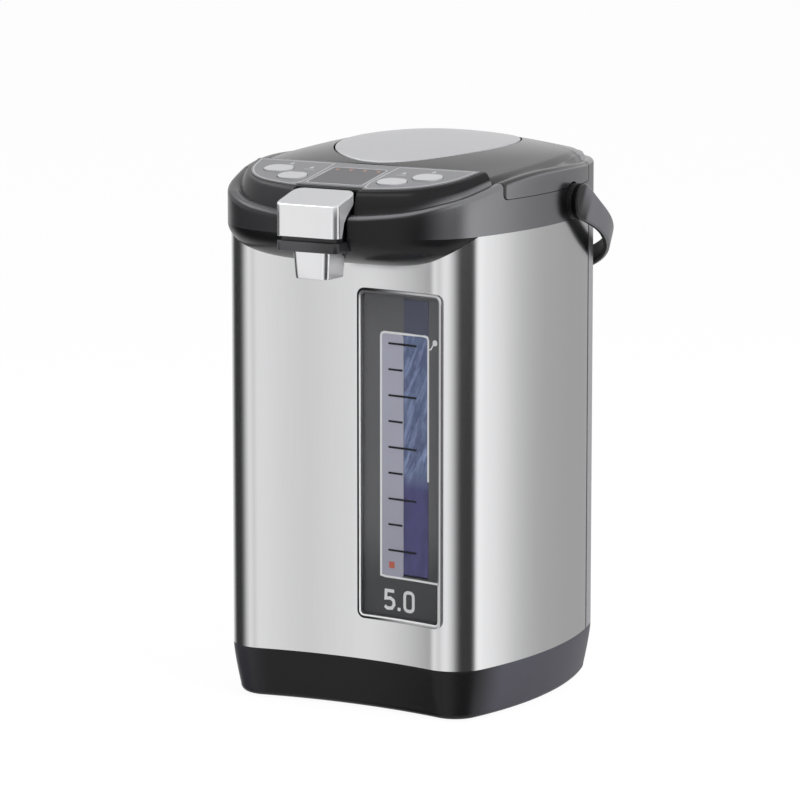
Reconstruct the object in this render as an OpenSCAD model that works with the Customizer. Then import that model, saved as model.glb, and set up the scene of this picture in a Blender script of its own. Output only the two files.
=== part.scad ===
// Electric thermo pot: a steel body with two rounded front columns, a dark collar with a
// spout nose, a hinged crowned lid with a press plate, and a carrying handle.
// Front is -Y, +Z is up, the origin is the middle of the footprint at floor level.

/* [Body] */
// Width across the bowed sides
body_w = 200; // [190:1:215]
// Front face of the two columns
front_y = -86; // [-92:1:-80]
// Rear face of the body
rear_y = 114; // [108:1:120]
// Radius of the bowed sides
side_r = 270; // [240:5:340]
// Radius of the front columns
column_r = 24; // [20:1:28]
// Radius of the rear corners
rear_r = 40; // [34:1:46]
// Depth of the hollow between the columns
recess = 7; // [5:0.5:9]
// Height of the dark base
base_h = 33.5; // [30:0.5:38]
// How far the base tucks in towards the floor
base_tuck = 4.5; // [3:0.5:7]
// Radius of the base's bottom edge
base_edge_r = 5; // [4:0.5:8]
// Height of the top edge of the steel
steel_top = 306.5; // [296:0.5:316]
// Thickness of the steel sheet
sheet = 0.8; // [0.6:0.1:1.2]
// Where the side seams part the shell from the rear panel
seam_y = 72; // [66:1:76]

/* [Collar] */
// Foremost point of the collar's bow
visor_y = -119.6; // [-124:0.4:-114]
// Radius of the collar's front bow
visor_r = 170; // [150:5:200]
// Radius of the collar's front corners
visor_corner_r = 60; // [54:1:64]
// Wall of the plastic mouldings
wall = 3; // [2.4:0.2:3.6]
// Height of the rim at the front, over the steel's top
rim_rise = 14.5; // [12:0.5:17]
// Rise of the rim per millimetre towards the rear
rim_slope = 0.24; // [0.2:0.01:0.28]
// Height of the rim beside the lid, over the steel's top
rim_top = 35.5; // [33:0.5:38]
// Height of the control deck at the front, over the steel's top
deck_rise = 25.1; // [23:0.5:27]
// Rise of the control deck per millimetre towards the rear
deck_slope = 0.18; // [0.14:0.01:0.22]
// Width of the step between the rim and the deck
terrace = 13; // [12:0.5:15]
// Drop of the chin below the collar
chin_drop = 20.5; // [16:0.5:24]
// Height where the lid's side skirts start, over the steel's top
skirt_rise = 20.5; // [18:0.5:23]

/* [Nose] */
// Width of the silver press cap
cap_w = 44.4; // [40:0.2:48]
// Front face of the cap
nose_y = -130; // [-133:1:-127]
// Rear edge of the cap
cap_rear_y = -103.6; // [-106:0.4:-101]
// Height of the cap's lower edge
cap_low_z = 306.5; // [304:0.5:309]
// Height of the cap's top front edge
cap_front_z = 327; // [325:0.5:329]
// Wall of the cap
cap_wall = 2; // [1.6:0.2:2.4]
// Swing of the cap when pressed, in degrees
cap_swing = 4; // [3:0.5:5]
// Width of the silver outlet
spout_w = 26; // [22:1:30]
// Depth of the silver outlet
spout_d = 23; // [20:1:25]
// Height of the outlet's lower end
spout_low_z = 280; // [276:1:284]
// Bore radius of the outlet
spout_bore_r = 6; // [4:0.5:7]

/* [Lid] */
// Height of the crown of the lid
lid_top = 358; // [354:0.5:362]
// Front edge of the lid
lid_front_y = -50.6; // [-54:0.2:-48]
// Rear seam of the lid's skirts
lid_rear_y = 72.4; // [68:0.2:76]
// Fall of the crown from its middle to its edges
crown_fall = 13.5; // [11:0.5:15]
// Half width of the hinge tongue
tongue_w = 46.5; // [42:0.5:50]
// Hinge line of the lid, from the front
hinge_y = 100; // [97:0.5:102]
// Height of the hinge line
hinge_z = 339; // [338:0.5:340]
// Radius of the hinge barrel
barrel_r = 6; // [5:0.5:6.5]
// Radius of the lower front corner of the lid's skirts
skirt_corner_r = 4; // [2:0.5:5]
// Half width of the oval press plate
plate_a = 56; // [50:1:60]
// Half length of the oval press plate
plate_b = 69; // [64:1:70]
// Middle of the press plate
plate_y = 22.4; // [20:0.4:24]
// Stroke of the press plate
plate_stroke = 9; // [6:0.5:10]
// Running gap round the moving pieces
gap = 0.6; // [0.4:0.1:0.9]

/* [Gauge window] */
// Left edge of the window
gauge_x0 = 7; // [4:1:10]
// Right edge of the window
gauge_x1 = 72.4; // [66:0.4:73]
// Bottom edge of the window
gauge_z0 = 60; // [54:1:70]
// Top edge of the window
gauge_z1 = 270.6; // [250:0.6:276]
// Width of the bezel
bezel_w = 3; // [2:0.5:4]
// Radius of the window's corners
window_r = 5; // [4.6:0.2:7]
// Middle of the water column
column_x = 50.6; // [44:0.4:54]
// Outer radius of the sight tube
tube_r = 7; // [5:0.5:8]
// Spacing of the scale's marks
mark_step = 16.4; // [12:0.2:18]
// Number of marks on the scale
marks = 9; // [5:1:11]

/* [Handle] */
// Pivot of the handle, from the front
pivot_y = 37.5; // [34:0.5:41]
// Height of the handle's pivot
pivot_z = 318; // [315:0.5:320]
// Rearmost line of the resting handle
handle_rear_y = 130; // [128:0.5:133]
// Width of the handle band along its arms
handle_band = 16; // [14:0.5:18]
// Width of the handle band at its rear
handle_band_rear = 13; // [11:0.5:15]
// Depth of the downward bow of the handle
handle_bow = 8.9; // [6:0.3:11]
// Thickness of the handle band
handle_t = 4; // [3.4:0.2:5]
// Angle at which the handle rests below the level
handle_droop = 26.7; // [25:0.3:28]
// Radius of the handle's corners
handle_corner_r = 80.8; // [76:0.4:84]
// Radius of the pivot pins
pin_r = 4; // [3:0.5:5]

/* [Inside] */
// Room between the hollow front and the inner pot
pot_front_gap = 10; // [9:0.5:14]
// Room between the inner pot and the rear
pot_rear_gap = 21; // [18:1:26]
// Height of the inner pot's floor
pot_z = 55; // [52:0.5:58]
// Radius of the pot's mouth
mouth_r = 52; // [46:1:54]
// Radius of the pump housing
pump_r = 18; // [16:0.5:20]

/* [Hidden] */
$fn = 64;
eps = 0.01;
big = 400;

// Centres of the arcs that bound the body in plan
side_cx = body_w / 2 - side_r;
column_cy = front_y + column_r;
column_cx = side_cx + sqrt(pow(side_r - column_r, 2) - pow(column_cy, 2));
recess_y = front_y + recess;
recess_k = column_r - recess;
recess_r = (pow(column_cx, 2) + pow(recess_k, 2) - pow(column_r, 2)) / (2 * recess);
pot_r = (rear_y - recess_y - pot_front_gap - pot_rear_gap) / 2;
pot_y = recess_y + pot_front_gap + pot_r;
rear_cy = rear_y - rear_r;
rear_cx = side_cx + sqrt(pow(side_r - rear_r, 2) - pow(rear_cy, 2));
recess_a = atan2(column_cx, recess_k + recess_r);
column_a = atan2(column_cy, column_cx - side_cx);
rear_a = atan2(rear_cy, rear_cx - side_cx);
visor_c = [0, visor_y + visor_r];
corner_c = meet(visor_c, visor_r - visor_corner_r, [side_cx, 0], side_r - visor_corner_r);
visor_a = 360 + atan2(corner_c[1] - visor_c[1], corner_c[0]);
corner_a = atan2(corner_c[1], corner_c[0] - side_cx);

// Heights over the floor
skirt_z = steel_top + skirt_rise;
rim_z = steel_top + rim_top;
foot_h = 1;
neck_z = skirt_z - 5;
crown_x = body_w / 2 - terrace + 1;
crown_y = 32.4;
crown_len = crown_y - lid_front_y;
band_top_z = cap_low_z - 2.6;
nose_low_z = 297.5;
deck_angle = atan(deck_slope);

// The point that lies a from p and b from q, on the front right
function meet(p, a, q, b) =
    let (v = q - p, d = norm(v), k = (a * a - b * b + d * d) / (2 * d), u = v / d)
    p + k * u + sqrt(a * a - k * k) * [-u[1], u[0]];

// Points along an arc, without its first one
function arc(c, r, a0, a1, n) =
    [for (i = [1:n]) let (a = a0 + (a1 - a0) * i / n) c + r * [cos(a), sin(a)]];

// Right half of the body in plan, set in by s: hollow, column, side, rear corner
function body_half(s) = concat(
    [[0, recess_y + s]],
    arc([0, recess_y - recess_r], recess_r + s, 90, 90 - recess_a, 7),
    arc([column_cx, column_cy], column_r - s, 270 - recess_a, 360 + column_a, 12),
    arc([side_cx, 0], side_r - s, column_a, rear_a, 9),
    arc([rear_cx, rear_cy], rear_r - s, rear_a, 90, 10),
    [[0, rear_y - s]]);

// Right half of the collar in plan, set in by s: front bow, corner, side, rear corner
function collar_half(s) = concat(
    [[0, visor_y + s]],
    arc(visor_c, visor_r - s, 270, visor_a, 6),
    arc(corner_c, visor_corner_r - s, visor_a, 360 + corner_a, 10),
    arc([side_cx, 0], side_r - s, corner_a, rear_a, 9),
    arc([rear_cx, rear_cy], rear_r - s, rear_a, 90, 10),
    [[0, rear_y - s]]);

// A closed ring from its right half
function ring(half) = concat(half, [for (i = [len(half) - 2:-1:1]) [-half[i][0], half[i][1]]]);

// A ring lifted to the height z
function level(half, z) = [for (p = ring(half)) [p[0], p[1], z]];

// Heights of the collar's rim, of the control deck and of the lid's crown at a place
function rim_at(y) = min(steel_top + rim_rise + rim_slope * (y - visor_y),
    rim_z - (y < 0 ? 0.0017 : 0.0005) * pow(min(y, 66), 2));
function deck_at(y) = steel_top + deck_rise + deck_slope * (y - visor_y);
function crown_at(x, y) =
    let (u = pow(x / crown_x, 2), v = pow((y - crown_y) / crown_len, 2))
    lid_top - crown_fall * (u + v - 0.62 * u * v);

// Height of the foot of the crown's shoulder above the rim
function foot_rise(y) = y < lid_front_y ? -1.2 : y < 0 ? -0.8 : -0.8 + 4.3 * pow(min(y, 60) / 60, 2);

// A solid through a stack of mirrored rings, closed by strips across its ends
module loft(rings) {
    n = len(rings[0]);
    top = (len(rings) - 1) * n;
    sides = [for (j = [0:len(rings) - 2], i = [0:n - 1])
        let (a = j * n + i, b = j * n + (i + 1) % n) each [[a, a + n, b + n], [a, b + n, b]]];
    strips = [for (i = [0:n / 2 - 1]) each [
        if (i < n / 2 - 1) [i, i + 1, n - i - 1],
        if (i > 0) [i, n - i - 1, n - i]]];
    ends = [for (t = strips) [t[0], t[1], t[2]]];
    tops = [for (t = strips) [top + t[2], top + t[1], top + t[0]]];
    polyhedron([for (r = rings) each r],
        concat(sides, ends, tops), convexity = 6);
}

// A hollow ring-shaped solid: its rings go up the outside, over, and back down the inside
module sleeve(rings) {
    n = len(rings[0]);
    m = len(rings);
    polyhedron([for (r = rings) each r], [for (j = [0:m - 1], i = [0:n - 1])
        let (a = j * n + i, b = j * n + (i + 1) % n, c = (j + 1) % m * n + i,
            d = (j + 1) % m * n + (i + 1) % n) each [[a, c, d], [a, d, b]]], convexity = 8);
}

// Flat outlines of the body and of the collar, set in by s
module body_shape(s) {
    polygon(ring(body_half(s)));
}

module collar_shape(s) {
    polygon(ring(collar_half(s)));
}

// A plate or wall that follows the hollow front, between two depths behind its face
module hollow_band(x0, x1, z0, z1, d0, d1) {
    translate([0, 0, z0])
        linear_extrude(z1 - z0)
            intersection() {
                difference() {
                    translate([0, recess_y - recess_r]) circle(recess_r + d1, $fn = 360);
                    translate([0, recess_y - recess_r]) circle(recess_r + d0, $fn = 360);
                }
                translate([x0, recess_y - 40]) square([x1 - x0, 60]);
            }
}

// A block with round corners of radius r in x and z, through the front wall
module window_block(x0, x1, z0, z1, r) {
    translate([0, recess_y + 20, 0])
        rotate([90, 0, 0])
            linear_extrude(50)
                union() {
                    translate([x0 + r, z0]) square([x1 - x0 - 2 * r, z1 - z0]);
                    translate([x0, z0 + r]) square([x1 - x0, z1 - z0 - 2 * r]);
                    for (x = [x0 + r, x1 - r], z = [z0 + r, z1 - r]) translate([x, z]) circle(r);
                }
}

// The same plate or wall with the window's round corners, set in by e from the bezel's edge
module window_band(e, d0, d1) {
    intersection() {
        hollow_band(gauge_x0 + e - 3, gauge_x1 - e + 3, gauge_z0 + e - 3, gauge_z1 - e + 3, d0, d1);
        window_block(gauge_x0 + e, gauge_x1 - e, gauge_z0 + e, gauge_z1 - e, window_r - e);
    }
}

// A straight round rod between two points
module rod(a, b, r) {
    v = b - a;
    translate(a)
        rotate([0, acos(v[2] / norm(v)), atan2(v[1], v[0])])
            cylinder(r = r, h = norm(v), $fn = 32);
}

// A side profile in y and z, drawn across the width w
module across(w) {
    translate([-w / 2, 0, 0]) rotate([90, 0, 90]) linear_extrude(w) children();
}

// ---- Base ----

base_floor = 2.5;
cover_inset = base_tuck + base_edge_r + 8;

// How far the base is set in, and at what height: up its outside, down its inside, over its floor
base_profile = concat(
    [for (a = [0:22.5:90]) [base_tuck + base_edge_r * (1 - sin(a)),
        foot_h + base_edge_r * (1 - cos(a))]],
    [for (t = [0.25, 0.5, 0.75, 1]) [base_tuck * pow(1 - t, 1.3),
        foot_h + base_edge_r + (base_h - foot_h - base_edge_r) * t]],
    [[wall, base_h], [base_tuck + wall - 1, foot_h + 12], [base_tuck + wall + 3, foot_h + base_floor],
        [cover_inset, foot_h + base_floor], [cover_inset, foot_h]]);

module base_housing() {
    color("#3a3a3f") sleeve([for (p = base_profile) level(body_half(p[0]), p[1])]);
}

screw_x = body_w * 0.31;
screw_ys = [-20, 62];

module bottom_cover() {
    color("#2c2c30")
        difference() {
            union() {
                translate([0, 0, foot_h]) linear_extrude(base_floor) body_shape(cover_inset + 0.3);
                translate([0, 0, foot_h + base_floor])
                    linear_extrude(1.5) body_shape(cover_inset - 4);
            }
            for (sx = [-1, 1], y = screw_ys)
                translate([sx * screw_x, y, 0]) cylinder(r = 1.8, h = 8);
            for (i = [-4:4])
                translate([i * body_w * 0.045 - 1.5, 0, 0]) cube([3, 30, 8]);
        }
}

module rubber_feet() {
    color("#1c1c1e")
        for (sx = [-1, 1], y = [front_y + 32, rear_y - 34])
            translate([sx * body_w * 0.26, y, 0])
                rotate_extrude()
                    polygon([[0, 0], [7.6, 0], [8.4, foot_h], [0, foot_h]]);
}

module base_screws() {
    color("silver")
        for (sx = [-1, 1], y = screw_ys)
            translate([sx * screw_x, y, 0])
                difference() {
                    union() {
                        translate([0, 0, 0.2]) cylinder(r = 3.2, h = foot_h - 0.2);
                        translate([0, 0, foot_h - eps]) cylinder(r = 1.7, h = 7);
                    }
                    translate([-0.4, -2.4, 0]) cube([0.8, 4.8, 0.5]);
                }
}

// ---- Steel body ----

module wall_ring() {
    translate([0, 0, base_h])
        linear_extrude(steel_top - base_h)
            difference() {
                body_shape(0);
                body_shape(sheet);
            }
}

module outer_shell() {
    color("#d8d9db")
        difference() {
            wall_ring();
            translate([-big / 2, seam_y, 0]) cube([big, big, big]);
            window_block(gauge_x0 + bezel_w / 2, gauge_x1 - bezel_w / 2, gauge_z0 + bezel_w / 2,
                gauge_z1 - bezel_w / 2, window_r - bezel_w / 2);
        }
}

inlet_w = 40;
inlet_h = 30;
inlet_z = base_h + 4;
inlet_d = 15;

module rear_panel() {
    color("#c2c4c8")
        difference() {
            wall_ring();
            translate([-big / 2, seam_y + gap - big, 0]) cube([big, big, big]);
            translate([-inlet_w / 2, rear_y - 20, inlet_z]) cube([inlet_w, 40, inlet_h]);
        }
}

module power_inlet() {
    color("#1e1e20")
        difference() {
            union() {
                translate([-inlet_w / 2, rear_y - inlet_d, inlet_z])
                    cube([inlet_w, inlet_d - sheet, inlet_h]);
                translate([-inlet_w / 2 + 0.2, rear_y - sheet - eps, inlet_z + 0.2])
                    cube([inlet_w - 0.4, sheet + eps, inlet_h - 0.4]);
            }
            translate([0, rear_y + 1, inlet_z + inlet_h / 2])
                rotate([90, 0, 0])
                    linear_extrude(inlet_d - 2)
                        union() {
                            square([inlet_w - 20, inlet_h - 12], center = true);
                            for (s = [-1, 1]) translate([s * (inlet_w / 2 - 10), 0])
                                circle((inlet_h - 12) / 2);
                        }
            pin_rods(20);
        }
}

inlet_pin_r = 1.6;

// The three pins of the inlet, of the length h from their tips
module pin_rods(h) {
    for (x = [-8, 0, 8])
        translate([x, rear_y - 5, inlet_z + inlet_h / 2 + (x == 0 ? 4 : 0)])
            rotate([90, 0, 0]) cylinder(r = inlet_pin_r, h = h);
}

module inlet_pins() {
    color("#b8b8bc") pin_rods(inlet_d - 5);
}

// ---- Gauge window ----

proud = 0.9;
lens_t = 1.6;
scale_y = lens_t + 0.6;
scale_t = 1.2;
tube_y = recess_y - recess_r + sqrt(pow(recess_r + scale_y + scale_t + 2.2 + tube_r, 2)
    - pow(column_x, 2));

module gauge_bezel() {
    color("#232326")
        difference() {
            union() {
                window_band(0, -proud, -0.15);
                window_band(bezel_w / 2, -0.15 - eps, scale_y + scale_t);
            }
            window_block(gauge_x0 + bezel_w, gauge_x1 - bezel_w, gauge_z0 + bezel_w,
                gauge_z1 - bezel_w, window_r - bezel_w);
        }
}

module gauge_lens() {
    color("#8a93a0", 0.5)
        window_band(bezel_w, 0, lens_t);
}

slot_w = 19.6;

module gauge_scale() {
    first = (gauge_z0 + gauge_z1) / 2 + 5 - mark_step * (marks - 1) / 2;
    color("#3b3d42")
        difference() {
            window_band(bezel_w, scale_y, scale_y + scale_t);
            hollow_band(column_x - slot_w / 2, column_x + slot_w / 2, gauge_z0 + 30,
                gauge_z1 - 5, scale_y - 2, scale_y + 6);
            for (i = [0:marks - 1])
                hollow_band(column_x - slot_w / 2 - (i % 2 == 0 ? 12 : 8), column_x - slot_w / 2 - 2,
                    first + i * mark_step, first + i * mark_step + 0.9,
                    scale_y - 1, scale_y + 0.3);
        }
}

tube_z0 = gauge_z0 + 8;
tube_z1 = gauge_z1 + 6;

module sight_tube() {
    color("#9fb6e0", 0.6)
        translate([column_x, tube_y, tube_z0])
            difference() {
                cylinder(r = tube_r, h = tube_z1 - tube_z0);
                translate([0, 0, -1]) cylinder(r = tube_r - 1.5, h = tube_z1 - tube_z0 + 2);
            }
}

module tube_fittings() {
    color("#e8e6df")
        for (z = [tube_z0 - 8, tube_z1 - 4])
            translate([column_x, tube_y, z])
                difference() {
                    cylinder(r = tube_r + 2, h = 12);
                    translate([0, 0, z < base_h + 60 ? 8 : -1]) cylinder(r = tube_r, h = 5);
                    translate([0, 0, -1]) cylinder(r = tube_r - 2.5, h = 14);
                }
}

// ---- Collar ----

// Rings up the wall, over the rounded rim and up the shoulder to the top; the front of the
// collar's top is the control deck, all the rest is the crown
function top_at(x, y, lidded) = lidded || y > 5 ? crown_at(x, y) : deck_at(y);

function top_rings(low_z, lidded) = concat(
    [level(collar_half(0), low_z)],
    [for (e = [[0, -3], [0.9, -0.9], [3, 0], [5.5, -0.2]])
        [for (p = ring(collar_half(e[0]))) [p[0], p[1], rim_at(p[1]) + e[1]]]],
    [[for (p = ring(collar_half(8))) [p[0], p[1], rim_at(p[1]) + foot_rise(p[1])]]],
    [[for (p = ring(collar_half(terrace - 2)))
        [p[0], p[1], max(top_at(p[0], p[1], lidded) - 1.8, rim_at(p[1]) + foot_rise(p[1]) + 0.3)]]],
    [for (k = lidded ? [1, 0.86, 0.7, 0.52, 0.34, 0.16] : [1, 0.84, 0.62, 0.3])
        [for (p = ring(collar_half(terrace))) let (x = p[0] * k, y = crown_y + (p[1] - crown_y) * k)
            [x, y, top_at(x, y, lidded)]]]);

// Rings back down the inside of the collar
function collar_room() = concat(
    [for (k = [0.5, 0.8, 1]) [for (p = ring(collar_half(terrace + 1))) let (x = p[0] * k,
        y = crown_y + (p[1] - crown_y) * k) [x, y, top_at(x, y, false) - wall]]],
    [[for (p = ring(collar_half(terrace - 3))) [p[0], p[1], rim_at(p[1]) - wall - 1]],
        [for (p = ring(collar_half(wall))) [p[0], p[1], rim_at(p[1]) - wall - 1.5]],
        level(collar_half(wall), steel_top)]);

// The plan of the lid, set in by c, and by more at its front and rear seams
module lid_plan(c, rear) {
    translate([-big / 2, lid_front_y + 2 * c]) square([big, lid_rear_y - lid_front_y - 2 * c + rear]);
    translate([-tongue_w + c, 0]) square([2 * (tongue_w - c), hinge_y + barrel_r + 2.4 - 5 * c]);
}

// What the rear seam leaves in place beside the tongue: behind the seam below the hinge's
// height, and within a round face about the hinge line above it
module seam_block(c) {
    r = hinge_y - lid_rear_y + c;
    difference() {
        across(big)
            union() {
                translate([hinge_y - r, hinge_z - 60]) square([r + 30, 60]);
                circle_at(hinge_y, hinge_z, r);
            }
        translate([-tongue_w + c / 3, 0, hinge_z - 80]) cube([2 * (tongue_w - c / 3), big, 160]);
    }
}

module circle_at(y, z, r) {
    translate([y, z]) circle(r);
}

// The rounded lower front corner of the lid's skirts, set in by c: what it leaves in place
module skirt_corner(c) {
    r = skirt_corner_r;
    across(big)
        difference() {
            translate([lid_front_y + c - 5, skirt_z + c - 5]) square(r + 5);
            translate([lid_front_y + c + r, skirt_z + c + r]) circle(r);
        }
}

// The space that the nose, the cap and their running gaps take out of the collar
module nose_space(c) {
    translate([-cap_w / 2 - c, nose_y - 10, nose_low_z - 20])
        cube([cap_w + 2 * c, cap_rear_y - nose_y + 10 + 2 * c, big]);
}

boss_r = 11.5;
boss_x = body_w / 2 + 2;
spigot_r = 8.5;

module collar() {
    color("#3b3b40")
        difference() {
            union() {
                sleeve(concat(top_rings(steel_top, false), collar_room()));
                for (sx = [-1, 1])
                    translate([sx * (tongue_w + 3.5) - 3.5, hinge_y - 6, hinge_z - 8])
                        cube([7, 12, 10]);
            }
            difference() {
                translate([0, 0, skirt_z]) linear_extrude(big) lid_plan(0, 8);
                seam_block(0);
                skirt_corner(0);
            }
            nose_space(gap);
            translate([0, hinge_y, hinge_z])
                rotate([0, 90, 0]) cylinder(r = 2, h = 2 * tongue_w + 8, center = true);
            for (sx = [-1, 1])
                translate([sx * 80, pivot_y, pivot_z])
                    rotate([0, sx * 90, 0]) cylinder(r = spigot_r, h = 40);
            for (b = BUTTONS) deck_place(b)
                cylinder(r = button_r + button_long + 1, h = 30, center = true);
            for (x = LIGHTS) deck_place([x, light_y]) cylinder(r = 1.8, h = 20, center = true);
        }
}

// The bowl under the collar's bow: it runs from the bow back to the steel
chin_n = 14;
chin_x = column_cx + column_r - 2.5;

// Point i of the steel's front, pushed out by d
function chin_back(i, d) =
    let (x = chin_x * i / chin_n)
    x < column_cx + column_r * sin(-recess_a)
        ? [x, recess_y - recess_r + sqrt(pow(recess_r - d, 2) - x * x)]
        : [x, column_cy - sqrt(max(pow(column_r + d, 2) - pow(x - column_cx, 2), 0))];

// Point i of the collar's front edge
function chin_front(i) =
    let (x = chin_x * i / chin_n, xc = corner_c[0] + visor_corner_r * cos(visor_a))
    x < xc
        ? [x, visor_c[1] - sqrt(pow(visor_r, 2) - x * x)]
        : [x, corner_c[1] - sqrt(max(pow(visor_corner_r, 2) - pow(x - corner_c[0], 2), 0))];

function chin_ring(t) =
    let (half = concat(
        [for (i = [0:chin_n]) let (a = chin_front(i), b = chin_back(i, 1.2),
            f = pow(1 - pow(t, 1.7), 0.7))
            [b[0] + (a[0] - b[0]) * f, b[1] + (a[1] - b[1]) * f,
                steel_top - t * chin_drop * (1 - pow(i / chin_n, 4)) - (t > 0 ? 0.4 * t : 0)]],
        [for (i = [chin_n:-1:0]) let (b = chin_back(i, 0))
            [b[0], b[1], steel_top - t * chin_drop * (1 - pow(i / chin_n, 4)) - (t > 0 ? 0.4 * t : 0)]]))
    concat(half, [for (i = [len(half) - 2:-1:1]) [-half[i][0], half[i][1], half[i][2]]]);

module chin_cover() {
    color("#333338")
        difference() {
            loft([for (t = [1, 0.92, 0.8, 0.6, 0.35, 0]) chin_ring(t)]);
            translate([-cap_w / 2, nose_y - 10, nose_low_z])
                cube([cap_w, cap_rear_y - nose_y + 10, 40]);
            translate([-cap_w / 2 - gap, nose_y - 10, band_top_z])
                cube([cap_w + 2 * gap, cap_rear_y - nose_y + 10, 40]);
            translate([-spout_w / 2 - 0.3, nose_y, spout_low_z - 10])
                cube([spout_w + 0.6, spout_front_y - nose_y + spout_d + 0.3, 60]);
        }
}

// The plate that carries the pot's mouth inside the collar, and the wall in front of the lid
module neck_plate() {
    color("#8f8f94")
        union() {
            translate([0, 0, neck_z - wall])
                linear_extrude(wall)
                    difference() {
                        intersection() {
                            collar_shape(wall);
                            translate([-big / 2, lid_front_y - 3]) square([big, big]);
                        }
                        translate([0, pot_y]) circle(mouth_r + 2.5, $fn = 96);
                        for (sx = [-1, 1]) translate([sx * body_w / 2, pivot_y]) circle(14);
                    }
            difference() {
                translate([-70, lid_front_y - 3, neck_z - 1])
                    cube([140, 2.2, deck_at(lid_front_y - 3) - wall - neck_z + 0.8]);
                translate([-latch_w / 2 - 1, lid_front_y - 4, latch_z - 0.8])
                    cube([latch_w + 2, 5, 4.8]);
            }
        }
}

// ---- Control deck ----

// Buttons: place across and place along, in the order of NODES
BUTTONS = [for (p = [[-0.27, -72.6], [-0.18, -85.6], [0.18, -85.6], [0.27, -72.6]])
    [p[0] * body_w, p[1]]];
button_r = 6.9;
button_long = 2.8;
panel_t = 0.8;
button_stroke = 1.2;

// Puts a child on the deck's surface at p, square to it
module deck_place(p) {
    translate([p[0], p[1], deck_at(p[1])]) rotate([deck_angle, 0, 0]) children();
}

module oval(r, h) {
    linear_extrude(h)
        union() {
            square([2 * button_long, 2 * r], center = true);
            for (s = [-1, 1]) translate([s * button_long, 0]) circle(r);
        }
}

module control_panel() {
    color("#77787e")
        difference() {
            translate([0, deck_y0, deck_at(deck_y0)])
                rotate([deck_angle, 0, 0])
                    linear_extrude(panel_t)
                        translate([0, -deck_y0])
                            intersection() {
                                collar_shape(terrace + 2);
                                translate([-big / 2, -big + lid_front_y - 1.2]) square([big, big]);
                            }
            nose_space(2.2);
            for (b = BUTTONS) deck_place(b) translate([0, 0, -2]) oval(button_r + 0.4, 8);
            for (x = LIGHTS) deck_place([x, light_y]) cylinder(r = 1.6, h = 6, center = true);
        }
}

deck_y0 = -80;
LIGHTS = [-15, -5, 5, 15];
light_y = -66;

module button(p) {
    deck_place(p)
        union() {
            translate([0, 0, -1.5]) oval(button_r, panel_t + 2.3);
            translate([0, 0, -board_gap + 1.6 + button_stroke + 0.3])
                cylinder(r = 3, h = board_gap - 1.6 - button_stroke - 0.3 - 1.4);
        }
}

module button_keep_warm() {
    color("#c9cace") button(BUTTONS[0]);
}

module button_reboil() {
    color("#c9cace") button(BUTTONS[1]);
}

module button_lock() {
    color("#c9cace") button(BUTTONS[2]);
}

module button_pour() {
    color("#c9cace") button(BUTTONS[3]);
}

module indicator_lights() {
    color("#d8583a")
        for (x = LIGHTS)
            deck_place([x, light_y])
                translate([0, 0, -board_gap + 1.6]) cylinder(r = 1.4, h = board_gap - 1.6 + panel_t);
}

board_gap = 9;

module control_board() {
    color("#2f6b3d")
        intersection() {
            difference() {
                deck_place([0, -76]) translate([-64, -17, -board_gap]) cube([128, 38, 1.6]);
                nose_space(3);
            }
            linear_extrude(big) collar_shape(terrace + 3);
        }
}

// ---- Nose and spout ----

spout_front_y = nose_y + 4.5;
cap_pivot_y = cap_rear_y - 3;
cap_pivot_z = cap_top(cap_pivot_y) - 4;
core_w = cap_w - 2 * cap_wall - 2 * gap;

// Height of the cap's top face at y
function cap_top(y) =
    cap_front_z + (deck_at(cap_rear_y) - cap_front_z) * (y - nose_y) / (cap_rear_y - nose_y);

module nose_housing() {
    color("#2a2a2e")
        difference() {
            union() {
                translate([-cap_w / 2, nose_y, nose_low_z])
                    cube([cap_w, cap_rear_y - nose_y, band_top_z - nose_low_z]);
                across(core_w)
                    polygon([[nose_y + 4.8, band_top_z - 1], [cap_rear_y - 1, band_top_z - 1],
                        [cap_rear_y - 1, cap_pivot_z + 1.5],
                        [cap_pivot_y - 6, cap_pivot_z - 2],
                        [nose_y + 5.4, cap_front_z - 7]]);
            }
            translate([0, spout_front_y + spout_d / 2, nose_low_z - 1]) cylinder(r = 5.2, h = 16);
            across(core_w - 2 * wall)
                polygon([[nose_y + 8, nose_low_z + 10], [cap_rear_y + 1, nose_low_z + 10],
                    [cap_rear_y + 1, cap_pivot_z - 5], [nose_y + 9, cap_front_z - 10]]);
            translate([0, cap_pivot_y, cap_pivot_z])
                rotate([0, 90, 0]) cylinder(r = 1.55, h = 60, center = true);
            translate([0, nose_y + 9, cap_front_z - 8.5]) cylinder(r = 3.4, h = 20);
        }
}

// The cap in plan, with its round front and rear corners
module cap_plan() {
    f = 2.4;
    r = 3.5;
    w = cap_w / 2;
    union() {
        translate([-w, nose_y + f]) square([2 * w, cap_rear_y - nose_y - f - r]);
        translate([-w + f, nose_y]) square([2 * (w - f), 10]);
        translate([-w + r, cap_rear_y - 10]) square([2 * (w - r), 10]);
        for (s = [-1, 1]) {
            translate([s * (w - f), nose_y + f]) circle(f);
            translate([s * (w - r), cap_rear_y - r]) circle(r);
        }
    }
}

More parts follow.
